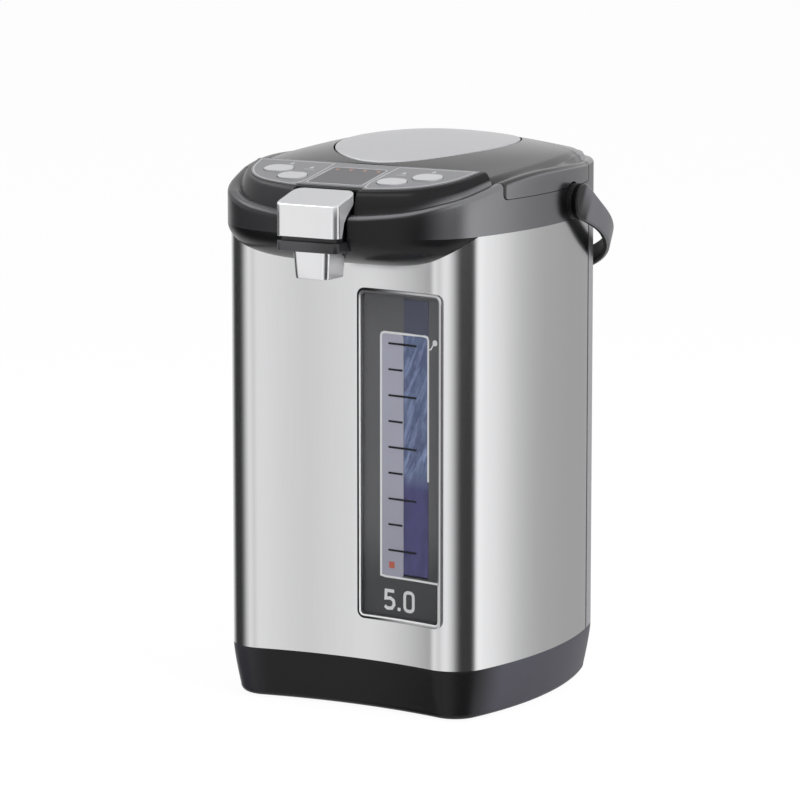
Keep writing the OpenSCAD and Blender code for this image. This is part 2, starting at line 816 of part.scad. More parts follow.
module dispense_cap() {
    color("#c4c5ca")
        difference() {
            intersection() {
                translate([0, 0, cap_low_z - 5]) linear_extrude(60) cap_plan();
            across(cap_w)
                polygon([[nose_y, cap_low_z], [nose_y, cap_front_z - 1.2],
                    [nose_y + 0.5, cap_front_z - 0.3], [nose_y + 1.6, cap_top(nose_y + 1.6)],
                    [cap_rear_y, cap_top(cap_rear_y)],
                    [cap_rear_y, cap_pivot_z - 2.4], [cap_pivot_y - 2.6, cap_pivot_z - 3],
                    [nose_y + 13, cap_front_z - 7], [nose_y + 9.6, cap_low_z + 9],
                    [nose_y + 7, cap_low_z]]);
            }
            across(cap_w - 2 * cap_wall)
                polygon([[nose_y + cap_wall, cap_low_z - 1],
                    [nose_y + cap_wall, cap_top(nose_y + cap_wall) - cap_wall],
                    [cap_rear_y + 1, cap_top(cap_rear_y + 1) - cap_wall],
                    [cap_rear_y + 1, cap_low_z - 1]]);
            translate([0, cap_pivot_y, cap_pivot_z])
                rotate([0, 90, 0]) cylinder(r = 1.56, h = 60, center = true);
        }
}

module cap_pin() {
    color("silver")
        translate([0, cap_pivot_y, cap_pivot_z])
            rotate([0, 90, 0]) cylinder(r = 1.5, h = cap_w - 2, center = true);
}

// A coil spring round the z axis, from square-section turns
module coil(r, wire, turns, h) {
    steps = 10;
    n = turns * steps;
    pitch = (h - wire) / n;
    pts = [for (i = [0:n]) let (a = 360 * i / steps)
        each [for (q = [[-1, -1], [1, -1], [1, 1], [-1, 1]])
            [(r + q[0] * wire / 2) * cos(a), (r + q[0] * wire / 2) * sin(a),
                wire / 2 + i * pitch + q[1] * wire / 2]]];
    faces = concat([[0, 1, 2], [0, 2, 3]],
        [for (i = [0:n - 1], k = [0:3]) let (a = 4 * i + k, b = 4 * i + (k + 1) % 4)
            each [[a, b + 4, b], [a, a + 4, b + 4]]],
        [[4 * n, 4 * n + 2, 4 * n + 1], [4 * n, 4 * n + 3, 4 * n + 2]]);
    polyhedron(pts, faces, convexity = 10);
}

module cap_spring() {
    z0 = cap_front_z - 8.5;
    color("#a9abb0")
        translate([0, nose_y + 9, z0])
            coil(2.6, 0.7, 5, cap_top(nose_y + 6) - cap_wall - 0.3 - z0);
}

module micro_switch() {
    color("#202022")
        union() {
            translate([7.2 - cap_w / 2, cap_pivot_y - 12, nose_low_z + 10]) cube([8.5, 9, 9]);
            translate([9.7 - cap_w / 2, cap_pivot_y - 9, nose_low_z + 18.9]) cube([3, 2.5, 1.6]);
        }
}

module spout() {
    color("#c4c5ca")
        translate([0, spout_front_y, 0])
            difference() {
                intersection() {
                    translate([-spout_w / 2, 0, spout_low_z])
                        cube([spout_w, spout_d, nose_low_z - spout_low_z]);
                    across(spout_w + 2)
                        polygon([[-1, nose_low_z + 1], [0.9, spout_low_z], [spout_d - 1.4, spout_low_z],
                            [spout_d, nose_low_z + 1]]);
                    rotate([90, 0, 0]) translate([0, 0, -spout_d - 1]) linear_extrude(spout_d + 2)
                        polygon([[-spout_w / 2, nose_low_z + 1], [-spout_w / 2 + 1, spout_low_z],
                            [spout_w / 2 - 1, spout_low_z], [spout_w / 2, nose_low_z + 1]]);
                }
                translate([0, spout_d / 2, spout_low_z - 1]) cylinder(r = spout_bore_r, h = 9);
                translate([0, spout_d / 2, spout_low_z]) cylinder(r = 5, h = 30);
            }
}

hose_r = 4.6;
tube_top_z = steel_top + 6;

module delivery_tube() {
    a = [column_x, tube_y, tube_z1 + 8];
    b = [column_x, tube_y, tube_top_z];
    c = [0, spout_front_y + spout_d / 2, tube_top_z];
    color("#d9d4c6")
        union() {
            rod(a, b, hose_r);
            translate(b) sphere(r = hose_r + 0.8);
            rod(b, c, hose_r);
            translate(c) sphere(r = hose_r + 0.8);
            rod(c, [0, spout_front_y + spout_d / 2, nose_low_z - 6], hose_r - 0.2);
        }
}

// ---- Lid ----

// The room inside the lid
module lid_room(low_z) {
    loft(concat(
        [level(collar_half(wall), low_z)],
        [[for (p = ring(collar_half(wall))) [p[0], p[1], rim_at(p[1]) - wall - 1.5]]],
        [[for (p = ring(collar_half(terrace - 2))) [p[0], p[1], rim_at(p[1]) - wall - 1]]],
        [for (k = [0.97, 0.66, 0.34])
            [for (p = ring(collar_half(terrace + 1))) let (x = p[0] * k,
                y = crown_y + (p[1] - crown_y) * k) [x, y, crown_at(x, y) - wall - 0.4]]]));
}

// The outline of the lid's tongue seen from the side, which bounds its swing
module tongue_side() {
    polygon([[-big / 2, skirt_z - 60], [hinge_y, skirt_z - 60], [hinge_y + barrel_r, hinge_z - 2],
        [hinge_y + barrel_r, hinge_z + 1], [hinge_y + 4, hinge_z + 4.6],
        [hinge_y - 1, hinge_z + 7.2], [hinge_y - 12, hinge_z + 14], [-big / 2, lid_top + 40]]);
}

latch_w = 26;
latch_z = skirt_z + 1.6;

module lid() {
    color("#404045")
        difference() {
            union() {
                difference() {
                    intersection() {
                        loft(top_rings(skirt_z + 0.4, true));
                        translate([0, 0, skirt_z]) linear_extrude(big) lid_plan(gap / 2, 6);
                        across(big) tongue_side();
                    }
                    seam_block(0.9);
                    skirt_corner(gap);
                }
                translate([0, hinge_y, hinge_z])
                    rotate([0, 90, 0]) cylinder(r = barrel_r, h = 2 * tongue_w - gap, center = true);
            }
            intersection() {
                lid_room(skirt_z - 2);
                translate([0, 0, skirt_z - 4])
                    linear_extrude(big)
                        union() {
                            translate([-big / 2, lid_front_y + wall])
                                square([big, lid_rear_y - lid_front_y - 2 * wall]);
                            translate([-tongue_w + wall, 0])
                                square([2 * (tongue_w - wall), hinge_y - barrel_r - wall]);
                        }
            }
            translate([0, plate_y, skirt_z]) scale([1, plate_b / plate_a, 1])
                cylinder(r = plate_a + gap, h = big, $fn = 96);
            translate([0, hinge_y, hinge_z])
                rotate([0, 90, 0]) cylinder(r = 2.05, h = big, center = true);
            translate([-latch_w / 2 - 0.4, lid_front_y - 1, latch_z - 0.4])
                cube([latch_w + 0.8, 7, 4]);
            translate([-5.4, lid_front_y - 1, skirt_z - 2]) cube([10.8, 7, 6]);
            for (sx = [-1, 1])
                translate([sx * 90, pivot_y, pivot_z])
                    rotate([0, sx * 90, 0]) cylinder(r = boss_r + 1, h = 40);
        }
}

liner_z = skirt_z - 0.5;

module lid_liner() {
    color("#d4d5d8")
        difference() {
            union() {
                translate([0, 0, liner_z - 2.5])
                    linear_extrude(2.5)
                        intersection() {
                            collar_shape(wall + 1);
                            translate([-big / 2, lid_front_y + 2])
                                square([big, lid_rear_y - lid_front_y - 4]);
                        }
                translate([0, pot_y, liner_z - 14]) cylinder(r = mouth_r - 3, h = 12);
            }
            translate([0, pot_y, liner_z - 12]) cylinder(r = mouth_r - 6, h = 20);
            translate([0, pot_y, liner_z - 20]) cylinder(r = 5, h = 20);
        }
}

module lid_gasket() {
    color("#dcd8cf")
        translate([0, pot_y, 0])
            rotate_extrude($fn = 96)
                polygon([[mouth_r - 3, liner_z - 8], [mouth_r - 1.4, neck_z + 0.4],
                    [mouth_r, neck_z + 1.35], [mouth_r + 3, neck_z + 1.35],
                    [mouth_r + 3, liner_z - 2.5], [mouth_r - 3, liner_z - 2.5]]);
}

module steam_valve() {
    color("#8c8c90")
        translate([0, pot_y, liner_z - 14])
            rotate_extrude()
                polygon([[2.2, -4], [8, -4], [9, -3], [9, 0], [4.9, 0], [4.9, 2], [7, 2],
                    [7, 3.4], [2.2, 3.4]]);
}

// An oval of the press plate's form, for a share k of its size
function oval_ring(k, d) = [for (i = [0:55]) let (a = -90 + 360 / 56 * i,
    x = plate_a * k * cos(a), y = plate_y + plate_b * k * sin(a)) [x, y, crown_at(x, y) - d]];

module pump_plate() {
    color("#9b9ca1")
        loft(concat(
            [[for (p = oval_ring(0.74, 0)) [p[0], p[1], pad_z]]],
            [for (e = [[0.8, 4.2], [0.985, 4.2], [1, 3.4], [1, 0], [0.985, -0.4], [0.9, -0.5],
                [0.7, -0.5], [0.45, -0.5], [0.2, -0.5]]) oval_ring(e[0], e[1])]));
}

pad_z = crown_at(0, plate_y - 0.76 * plate_b) - 4.6;
bellows_z1 = pad_z - 0.1;

module bellows() {
    folds = 5;
    step = (bellows_z1 - liner_z - 0.3) / (2 * folds);
    color("#5c5c60")
        translate([0, pot_y, 0])
            rotate_extrude($fn = 64)
                polygon(concat(
                    [for (i = [0:2 * folds]) [i % 2 == 0 ? 34 : 39, liner_z + 0.2 + i * step]],
                    [for (i = [2 * folds:-1:0]) [i % 2 == 0 ? 32.6 : 37.6, liner_z + 0.2 + i * step]]));
}

module plate_spring() {
    color("#a9abb0")
        translate([0, pot_y, liner_z + 0.2]) coil(20, 2, 4, bellows_z1 - liner_z - 0.3);
}

// The catch, drawn back into the lid's front wall
module lid_latch() {
    color("#55555a")
        union() {
            translate([-latch_w / 2, lid_front_y + 0.8, latch_z]) cube([latch_w, 4.4, 3.2]);
            translate([-5, lid_front_y + 3.2, latch_z - 1.9]) cube([10, 2, 2]);
        }
}

module hinge_pin() {
    color("silver")
        translate([0, hinge_y, hinge_z])
            rotate([0, 90, 0]) cylinder(r = 2, h = 2 * tongue_w + 8, center = true);
}

// ---- Handle ----

arm_x = boss_x + 0.5;
pin_x = arm_x + handle_t - 1.2;
handle_reach = (handle_rear_y - pivot_y - (handle_band_rear / 2 - handle_bow) * sin(handle_droop))
    / cos(handle_droop);

// Half the width of the band, and the height of its middle, at the distance y from the pivot
function band_half(y) =
    let (e = min(y / handle_reach, 1), w = (handle_band + (handle_band_rear - handle_band) * e) / 2)
    w + (boss_r - w) * pow(max(1 - y / 40, 0), 2);
function band_mid(y) = -handle_bow * pow(y / handle_reach, 2);

// The handle seen from above when level, then cut by its side outline and tilted
module carry_handle() {
    w = arm_x + handle_t;
    rr = handle_corner_r;
    color("#46464b")
        translate([0, pivot_y, pivot_z])
            rotate([-handle_droop, 0, 0])
                difference() {
                    intersection() {
                        translate([0, 0, -2 * boss_r])
                            linear_extrude(4 * boss_r)
                                difference() {
                                    handle_plan(w, handle_reach, rr);
                                    handle_plan(arm_x, handle_reach - handle_t, rr - handle_t);
                                }
                        across(big)
                            union() {
                                circle(boss_r);
                                polygon(concat(
                                    [for (i = [0:14]) let (y = i / 14 * (handle_reach + 1))
                                        [y, band_mid(y) - band_half(y)]],
                                    [for (i = [14:-1:0]) let (y = i / 14 * (handle_reach + 1))
                                        [y, band_mid(y) + band_half(y)]]));
                            }
                    }
                    rotate([0, 90, 0]) cylinder(r = pin_r, h = 2 * pin_x, center = true);
                }
}

module handle_plan(w, reach, r) {
    translate([-w, -boss_r - 1]) square([2 * w, reach - r + boss_r + 1]);
    translate([-w + r, 0]) square([2 * (w - r), reach]);
    for (s = [-1, 1]) translate([s * (w - r), reach - r]) circle(r, $fn = 96);
}

module handle_pins() {
    color("#2c2c30")
        for (sx = [-1, 1])
            translate([sx * (body_w / 2 - 8.6), pivot_y, pivot_z])
                rotate([0, sx * 90, 0])
                    union() {
                        cylinder(r = pin_r, h = pin_x - body_w / 2 + 8.6);
                        cylinder(r = pin_r + 0.8, h = 1.7);
                    }
}

// Face of the collar's side at the pivot
pivot_face = side_cx + sqrt(pow(side_r, 2) - pow(pivot_y, 2));

module pivot_bushings() {
    color("#303035")
        difference() {
            for (sx = [-1, 1])
                translate([sx * (pivot_face - wall - 0.4), pivot_y, pivot_z])
                    rotate([0, sx * 90, 0])
                        difference() {
                            union() {
                                cylinder(r = spigot_r, h = wall + 1);
                                translate([0, 0, 0.4 + wall - 2.2])
                                    cylinder(r = boss_r, h = boss_x - pivot_face + 2.2);
                            }
                            translate([0, 0, -1]) cylinder(r = pin_r + 0.05, h = 20);
                        }
            difference() {
                translate([0, 0, pivot_z - 40]) linear_extrude(80) body_shape(0);
                for (sx = [-1, 1])
                    translate([sx * (pivot_face - wall - 1), pivot_y, pivot_z])
                        rotate([0, sx * 90, 0]) cylinder(r = spigot_r, h = 30);
            }
        }
}

// ---- Inside ----

module inner_pot() {
    color("#c9cacd")
        translate([0, pot_y, 0])
            difference() {
                rotate_extrude($fn = 96)
                    polygon([[0, pot_z], [pot_r - 8, pot_z], [pot_r, pot_z + 8],
                        [pot_r, neck_z - 30], [pot_r - 5, neck_z - 22], [mouth_r + 6, neck_z - 12],
                        [mouth_r + 2.2, neck_z - 6], [mouth_r + 2.2, neck_z],
                        [mouth_r + 6, neck_z], [mouth_r + 6, neck_z + 1],
                        [mouth_r + 1, neck_z + 1], [mouth_r + 1, neck_z - 6.4],
                        [mouth_r + 5, neck_z - 13], [pot_r - 6, neck_z - 23],
                        [pot_r - 1.2, neck_z - 31], [pot_r - 1.2, pot_z + 9],
                        [pot_r - 9, pot_z + 1.2], [0, pot_z + 1.2]]);
                translate([pump_x, pump_y - pot_y, pot_z - 1]) cylinder(r = 4, h = 4);
            }
}

module insulation() {
    color("#e3e0d6")
        translate([0, pot_y, pot_z + 10])
            difference() {
                cylinder(r = pot_r + 4, h = neck_z - 50 - pot_z, $fn = 96);
                translate([0, 0, -1]) cylinder(r = pot_r + 0.2, h = big, $fn = 96);
            }
}

heater_t = 7;

module heater_plate() {
    color("#9a9a9e")
        translate([0, pot_y, pot_z - heater_t])
            difference() {
                cylinder(r = 64, h = heater_t, $fn = 96);
                translate([pump_x, pump_y - pot_y, -1]) cylinder(r = 8, h = heater_t + 2);
            }
}

module thermostats() {
    color("#d0c9b6")
        for (p = [[-20, 30], [-34, 6]])
            translate([p[0], p[1], pot_z - heater_t - 5]) cylinder(r = 7, h = 5);
}

pump_x = 34;
pump_y = 36;
pump_z = 24;
pump_h = 18;

module pump_housing() {
    color("#dedbd0")
        translate([pump_x, pump_y, pump_z])
            difference() {
                union() {
                    cylinder(r = pump_r, h = pump_h);
                    translate([0, 0, pump_h - 1]) cylinder(r = 6, h = 5);
                    translate([0, -pump_r - 6, 8]) rotate([-90, 0, 0]) cylinder(r = 5.5, h = 12);
                }
                translate([0, 0, 3]) cylinder(r = pump_r - 3, h = pump_h - 6);
                translate([0, 0, pump_h - 4]) cylinder(r = 4, h = 12);
                translate([0, 0, -1]) cylinder(r = 2.1, h = 6);
                translate([0, -pump_r - 8, 8]) rotate([-90, 0, 0]) cylinder(r = 3, h = 14);
            }
}

module pump_motor() {
    color("#7d7f84")
        translate([pump_x, pump_y, foot_h + base_floor + 1.8])
            difference() {
                cylinder(r = 14, h = pump_z - foot_h - base_floor - 1.8);
                translate([0, 0, 4]) cylinder(r = 2.05, h = big);
            }
}

module pump_rotor() {
    color("#b24a3a")
        translate([pump_x, pump_y, 0])
            union() {
                translate([0, 0, foot_h + base_floor + 6.2]) cylinder(r = 2, h = pump_z - 1);
                translate([0, 0, pump_z + 4]) cylinder(r = pump_r - 5, h = 1.6);
                for (a = [0:60:300])
                    rotate([0, 0, a]) translate([1, -0.6, pump_z + 5.5])
                        cube([pump_r - 6.5, 1.2, 5]);
            }
}

module inlet_hose() {
    color("#cfcabd")
        translate([pump_x, pump_y, pump_z + pump_h + 1])
            difference() {
                cylinder(r = 7.6, h = pot_z - pump_z - pump_h - 1);
                translate([0, 0, -1]) cylinder(r = 6, h = big);
            }
}

module outlet_hose() {
    a = [pump_x, pump_y - pump_r - 7.1, pump_z + 8];
    b = [column_x, tube_y, pump_z + 8];
    color("#cfcabd")
        union() {
            rod(a, b, hose_r);
            translate(b) sphere(r = hose_r + 0.8);
            rod(b, [column_x, tube_y, tube_z0 - 8], hose_r);
        }
}

module power_board() {
    color("#2f6b3d")
        translate([-body_w * 0.33, -36, foot_h + base_floor + 6.5])
            union() {
                cube([56, 70, 1.6]);
                for (p = [[6, 8, 14], [26, 44, 18], [38, 14, 10]])
                    translate([p[0], p[1], 1.5]) cube([12, 14, p[2] * 0.7]);
                for (x = [4, 52], y = [4, 66])
                    translate([x, y, -5]) cylinder(r = 2.5, h = 5.1);
            }
}

base_housing();
bottom_cover();
rubber_feet();
base_screws();
outer_shell();
rear_panel();
power_inlet();
inlet_pins();
gauge_bezel();
gauge_lens();
gauge_scale();
sight_tube();
tube_fittings();
collar();
chin_cover();
nose_housing();
neck_plate();
control_panel();
button_keep_warm();
button_reboil();
button_lock();
button_pour();
indicator_lights();
control_board();
dispense_cap();
cap_pin();
cap_spring();
micro_switch();
spout();
delivery_tube();
lid();
lid_liner();
lid_gasket();
steam_valve();
pump_plate();
bellows();
plate_spring();
lid_latch();
hinge_pin();
carry_handle();
handle_pins();
pivot_bushings();
inner_pot();
insulation();
heater_plate();
thermostats();
pump_housing();
pump_motor();
pump_rotor();
inlet_hose();
outlet_hose();
power_board();
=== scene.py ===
import math
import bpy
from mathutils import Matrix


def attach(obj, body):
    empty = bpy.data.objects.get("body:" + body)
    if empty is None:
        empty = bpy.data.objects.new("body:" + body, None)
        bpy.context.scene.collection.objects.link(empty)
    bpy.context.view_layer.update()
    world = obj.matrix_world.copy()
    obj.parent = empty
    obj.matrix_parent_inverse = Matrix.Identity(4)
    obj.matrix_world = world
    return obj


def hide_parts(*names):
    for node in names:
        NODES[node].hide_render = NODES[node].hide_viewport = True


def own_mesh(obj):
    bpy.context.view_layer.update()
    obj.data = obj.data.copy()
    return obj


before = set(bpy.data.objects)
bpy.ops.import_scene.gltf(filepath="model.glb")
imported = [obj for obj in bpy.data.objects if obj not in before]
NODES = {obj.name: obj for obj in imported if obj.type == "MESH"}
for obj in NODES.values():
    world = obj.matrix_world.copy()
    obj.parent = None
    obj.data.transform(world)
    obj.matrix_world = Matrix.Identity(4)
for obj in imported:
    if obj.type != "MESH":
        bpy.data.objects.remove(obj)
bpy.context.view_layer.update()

from types import SimpleNamespace

import bmesh
import bpy
import numpy as np
from mathutils import Vector

bl_info = {
    "name": "Electric Thermo Pot",
    "version": (1, 0, 0),
    "blender": (4, 5, 0),
    "location": "View3D > Sidebar > Thermo Pot",
    "description": "Skins, finishes and a studio for an electric thermo pot",
    "category": "Add Mesh",
}

MM = 0.001


# ---------------------------------------------------------------- sizes and colours

def number_prop(name, text, default, **more):
    """A number that a user may change."""
    return bpy.props.FloatProperty(name=name, description=text, default=default, **more)


def colour_prop(name, text, default):
    """A colour that a user may change."""
    return bpy.props.FloatVectorProperty(name=name, description=text, default=default,
                                         subtype="COLOR", size=3)


class PotForm(bpy.types.PropertyGroup):
    """Sizes that the skins share, in millimetres, and how finely they are drawn."""
    body_w: number_prop("Body width", "Width across the bowed sides", 200.0)
    front_y: number_prop("Column front", "Front face of the two columns", -86.0)
    rear_y: number_prop("Rear", "Rear face of the body", 114.0)
    side_r: number_prop("Side bow", "Radius of the bowed sides", 270.0)
    column_r: number_prop("Column radius", "Radius of the front columns", 24.0)
    rear_r: number_prop("Rear corner", "Radius of the rear corners", 40.0)
    recess: number_prop("Hollow", "Depth of the hollow between the columns", 7.0)
    base_h: number_prop("Base height", "Height of the dark base", 33.5)
    steel_top: number_prop("Steel top", "Top edge of the steel", 306.5)
    seam_y: number_prop("Side seam", "Where shell and rear panel part", 72.0)
    visor_y: number_prop("Collar front", "Foremost point of the collar's bow", -119.6)
    visor_r: number_prop("Collar bow", "Radius of the collar's front bow", 170.0)
    visor_corner_r: number_prop("Collar corner", "Radius of the collar's front corners", 60.0)
    terrace: number_prop("Terrace", "Width of the step from rim to deck", 13.0)
    lid_top: number_prop("Lid top", "Height of the lid's crown", 358.0)
    fineness: number_prop("Fineness", "Spacing of the points of the large skins, in millimetres",
                          1.6, min=0.8, max=6.0)


class PotFinish(bpy.types.PropertyGroup):
    """Colours and gloss of the pot's finishes."""
    steel: colour_prop("Steel", "Brushed steel", (0.80, 0.80, 0.81))
    steel_rough: number_prop("Steel roughness", "Spread of the steel's reflections", 0.19, min=0.05,
                             max=0.8)
    charcoal: colour_prop("Charcoal", "Glossy mouldings", (0.040, 0.040, 0.044))
    # Painted light: the lighter, more metallic tone of the collar's and lid's sides, the rear deck
    # and the rim's highlight line.
    satin: colour_prop("Painted light grey", "Lighter, more metallic tone of the mouldings' sides",
                       (0.275, 0.275, 0.29))
    base: colour_prop("Base", "Base moulding", (0.078, 0.076, 0.096))
    black: colour_prop("Black", "Matte black mouldings", (0.008, 0.008, 0.009))
    silver: colour_prop("Silver", "Painted silver mouldings", (0.97, 0.97, 1.0))
    panel: colour_prop("Panel", "Control panel", (0.27, 0.27, 0.285))
    plate: colour_prop("Press plate", "Satin press plate", (0.56, 0.56, 0.575))
    window: colour_prop("Window", "Dark print behind the window", (0.160, 0.160, 0.166))
    mist: colour_prop("Scale field", "Lilac grey field of the scale", (0.52, 0.52, 0.63))
    water: colour_prop("Water", "Water behind the window", (0.165, 0.215, 0.37))


class Studio(bpy.types.PropertyGroup):
    """Camera and light."""
    azimuth: number_prop("Azimuth", "Camera's turn to the right, in degrees", 30.09)
    elevation: number_prop("Elevation", "Camera's height over the level, in degrees", 9.3)
    distance: number_prop("Distance", "Camera's distance", 2.87287, unit="LENGTH")
    lens: number_prop("Lens", "Focal length in millimetres", 201.05)
    world: number_prop("World", "Strength of the even light", 0.55)
    floor_glow: number_prop("Floor", "How plainly the floor shows white, against its shadows", 0.90,
                            min=0.0, max=1.0)


def form():
    """The sizes now set in the scene."""
    return bpy.context.scene.pot_form


def finish_of():
    """The finishes now set in the scene."""
    return bpy.context.scene.pot_finish


# ---------------------------------------------------------------- outlines and heights

def centres():
    """Centres and meeting angles of the arcs in plan, from the sizes in PotForm."""
    f = form()
    sx = f.body_w / 2 - f.side_r
    cy = f.front_y + f.column_r
    cx = sx + math.sqrt((f.side_r - f.column_r) ** 2 - cy ** 2)
    k = f.column_r - f.recess
    rr = (cx ** 2 + k ** 2 - f.column_r ** 2) / (2 * f.recess)
    ry = f.rear_y - f.rear_r
    rx = sx + math.sqrt((f.side_r - f.rear_r) ** 2 - ry ** 2)
    p, a = np.array([0, f.visor_y + f.visor_r]), f.visor_r - f.visor_corner_r
    q, b = np.array([sx, 0.0]), f.side_r - f.visor_corner_r
    d = np.linalg.norm(q - p)
    u = (q - p) / d
    m = (a * a - b * b + d * d) / (2 * d)
    vc = p + m * u + math.sqrt(a * a - m * m) * np.array([-u[1], u[0]])
    ang = lambda y, x: math.degrees(math.atan2(y, x))
    return SimpleNamespace(
        sx=sx, column=(cx, cy), rear=(rx, ry), recess_r=rr, recess_y=f.front_y + f.recess,
        recess_a=ang(cx, k + rr), column_a=ang(cy, cx - sx), rear_a=ang(ry, rx - sx),
        visor=p, corner=vc, visor_a=360 + ang(vc[1] - p[1], vc[0]),
        corner_a=ang(vc[1], vc[0] - sx))


def same_half(kind, s):
    """Right half of an outline, set in by s: arcs of centre plus radius times (cos, sin). The
    hollow, column, side and rear corner bound the body; the bow and corner replace hollow and
    column on the collar. The point count is that of s = 0, so that rings at several insets join
    up."""
    f, c = form(), centres()

    def arc(centre, r, a0, a1, r0, fine=1.0):
        n = max(3, int(abs(math.radians(a1 - a0)) * max(r0, 8) / (f.fineness / fine)))
        a = np.radians(np.linspace(a0, a1, n + 1))
        return np.stack([centre[0] + r * np.cos(a), centre[1] + r * np.sin(a)], 1)

    if kind == "body":
        hollow = (0, c.recess_y - c.recess_r)
        head = [arc(hollow, c.recess_r + s, 90, 90 - c.recess_a, c.recess_r),
                arc(c.column, f.column_r - s, 270 - c.recess_a, 360 + c.column_a, f.column_r,
                    1.6)[1:]]
        start = c.column_a
    else:
        head = [arc(c.visor, f.visor_r - s, 270, c.visor_a, f.visor_r),
                arc(c.corner, f.visor_corner_r - s, c.visor_a, 360 + c.corner_a,
                    f.visor_corner_r)[1:]]
        start = c.corner_a
    flat = np.linspace(c.rear[0], 0, 18)[1:]
    tail = [arc((c.sx, 0), f.side_r - s, start, c.rear_a, f.side_r)[1:],
            arc(c.rear, f.rear_r - s, c.rear_a, 90, f.rear_r)[1:],
            np.stack([flat, np.full(len(flat), f.rear_y - s)], 1)]
    return np.concatenate(head + tail)


def ring_of(half):
    """A closed ring: the right half, then its mirror image on the left."""
    return np.concatenate([half, half[-2:0:-1] * [-1, 1]])


def level(p, z):
    """Flat points at one height, or at heights given as a function of x and y."""
    h = z(p[:, 0], p[:, 1]) if callable(z) else np.full(len(p), float(z))
    return np.column_stack([p, h])


def ring(kind, s, z):
    """A closed ring of an outline set in by s, at a height or at heights by x and y."""
    return level(ring_of(same_half(kind, s)), z)


# All in millimetres. Lid: front and rear edge, lower edge over the steel, gap to its bed, wall
LID_FRONT, LID_REAR, SKIRT_RISE, GAP, LID_WALL = -50.6, 72.4, 20.5, 0.6, 3.0
# Hinge: half the tongue's width, the pin's y and z, the barrel's radius
TONGUE, HINGE_Y, HINGE_Z, BARREL = 46.5, 100.0, 339.0, 6.0
# Press plate: half its width, half its length, its middle; the middle of the crown
PLATE_A, PLATE_B, PLATE_Y, CROWN_Y = 56.0, 69.0, 22.4, 32.4
# Handle's pivot in y and z, and the radii of its socket in the collar and its notch in the lid
PIVOT, SOCKET_R, NOTCH_R = (37.5, 318.0), 8.5, 12.5
# Nose and cap: front, rear, width, the cap's lower edge and the height of its front edge
NOSE_Y, CAP_REAR, CAP_W, CAP_LOW, CAP_FRONT_Z = -130.0, -103.6, 44.4, 306.5, 327.0
# Nose band's lower and upper edge; radii of the cap's front corners, rear corners and top edge
NOSE_LOW, NOSE_TOP, CORNER_FRONT, CORNER_REAR, CAP_EDGE = 297.5, 303.9, 4.6, 7.0, 1.3
# How much the springs and bellows shorten under the press plate and the cap
PLATE_TRAVEL, CAP_TRAVEL = 9.3, 1.4
# Outlet: width, depth, lower end, front
SPOUT_W, SPOUT_D, SPOUT_LOW, SPOUT_Y = 26.0, 23.0, 280.0, -125.5
# Handle: droop in degrees, reach, boss radius, side of the band, its thickness, corner and sag
DROOP, REACH, BOSS_R, ARM_X, BAND_T, CORNER_R, SAG = 26.7, 104.82, 11.5, 102.5, 4.0, 80.8, 8.9
# Gauge window's left, right, bottom and top, its corners, and how deep its scale lies
WINDOW, WINDOW_R, SCALE_Y = (7.0, 72.4, 60.0, 270.6), 5, 2.2
# Mains inlet: width, height and the height of its middle
INLET = (40.0, 30.0, 52.5)
# Rim: rise and slope of its front, its top over the steel, its bow to front and rear, where the
# bow ends, and its edge's radius
RIM_RISE, RIM_SLOPE, RIM_TOP, RIM_FRONT, RIM_REAR = 14.5, 0.24, 35.5, 0.0017, 0.0005
RIM_END, RIM_R = 66, 3
# Deck: rise over the steel, slope, the panel's thickness; where the deck ends under the crown
DECK_RISE, DECK_SLOPE, PANEL_T, DECK_END = 25.1, 0.18, 0.813, 5
# Crown: fall at its edges, and the share taken back at its corners
CROWN_FALL, CROWN_SHARE = 13.5, 0.62
# Walls of the collar and of the steel sheet; how far cutting blocks reach to the sides and up
MOULD, SHEET, ASIDE, OVER = 2.4, 0.8, 150, 420


def rim_at(x, y):
    """Height of the rim: a rising plane in front, then a gentle bow beside and behind the lid."""
    f = form()
    plane = f.steel_top + RIM_RISE + RIM_SLOPE * (y - f.visor_y)
    bow = np.where(y < 0, RIM_FRONT, RIM_REAR) * np.minimum(y, RIM_END) ** 2
    return np.minimum(plane, f.steel_top + RIM_TOP - bow)


def deck_at(x, y):
    """Height of the control deck: a plane that rises towards the rear."""
    f = form()
    return f.steel_top + DECK_RISE + DECK_SLOPE * (y - f.visor_y)


def crown_at(x, y):
    """Height of the lid's crown: top less fall times (u + v - share times u v), u and v being
    the squared shares of its half width and length."""
    f = form()
    half_w = f.body_w / 2 - f.terrace + 1
    u, v = (x / half_w) ** 2, ((y - CROWN_Y) / (CROWN_Y - LID_FRONT)) ** 2
    return f.lid_top - CROWN_FALL * (u + v - CROWN_SHARE * u * v)


def top_at(lidded):
    """The height of the top: the crown, or on the bare collar the deck in front of it."""
    if lidded:
        return crown_at
    return lambda x, y: np.where(y > DECK_END, crown_at(x, y), deck_at(x, y))


def foot_at(x, y):
    """Height of the shoulder's foot: just under the rim, rising to meet the crown at the rear."""
    rise = -0.8 + 4.3 * (np.minimum(y, 60) / 60) ** 2
    return rim_at(x, y) + np.where(y < LID_FRONT, -1.2, np.where(y < 0, -0.8, rise))


def shrunk(s, k, top, down=0.0):
    """The collar's outline set in by s and drawn by k to the crown's middle, under the top."""
    p = ring_of(same_half("collar", s))
    x, y = p[:, 0] * k, CROWN_Y + (p[:, 1] - CROWN_Y) * k
    return np.column_stack([x, y, top(x, y) - down])


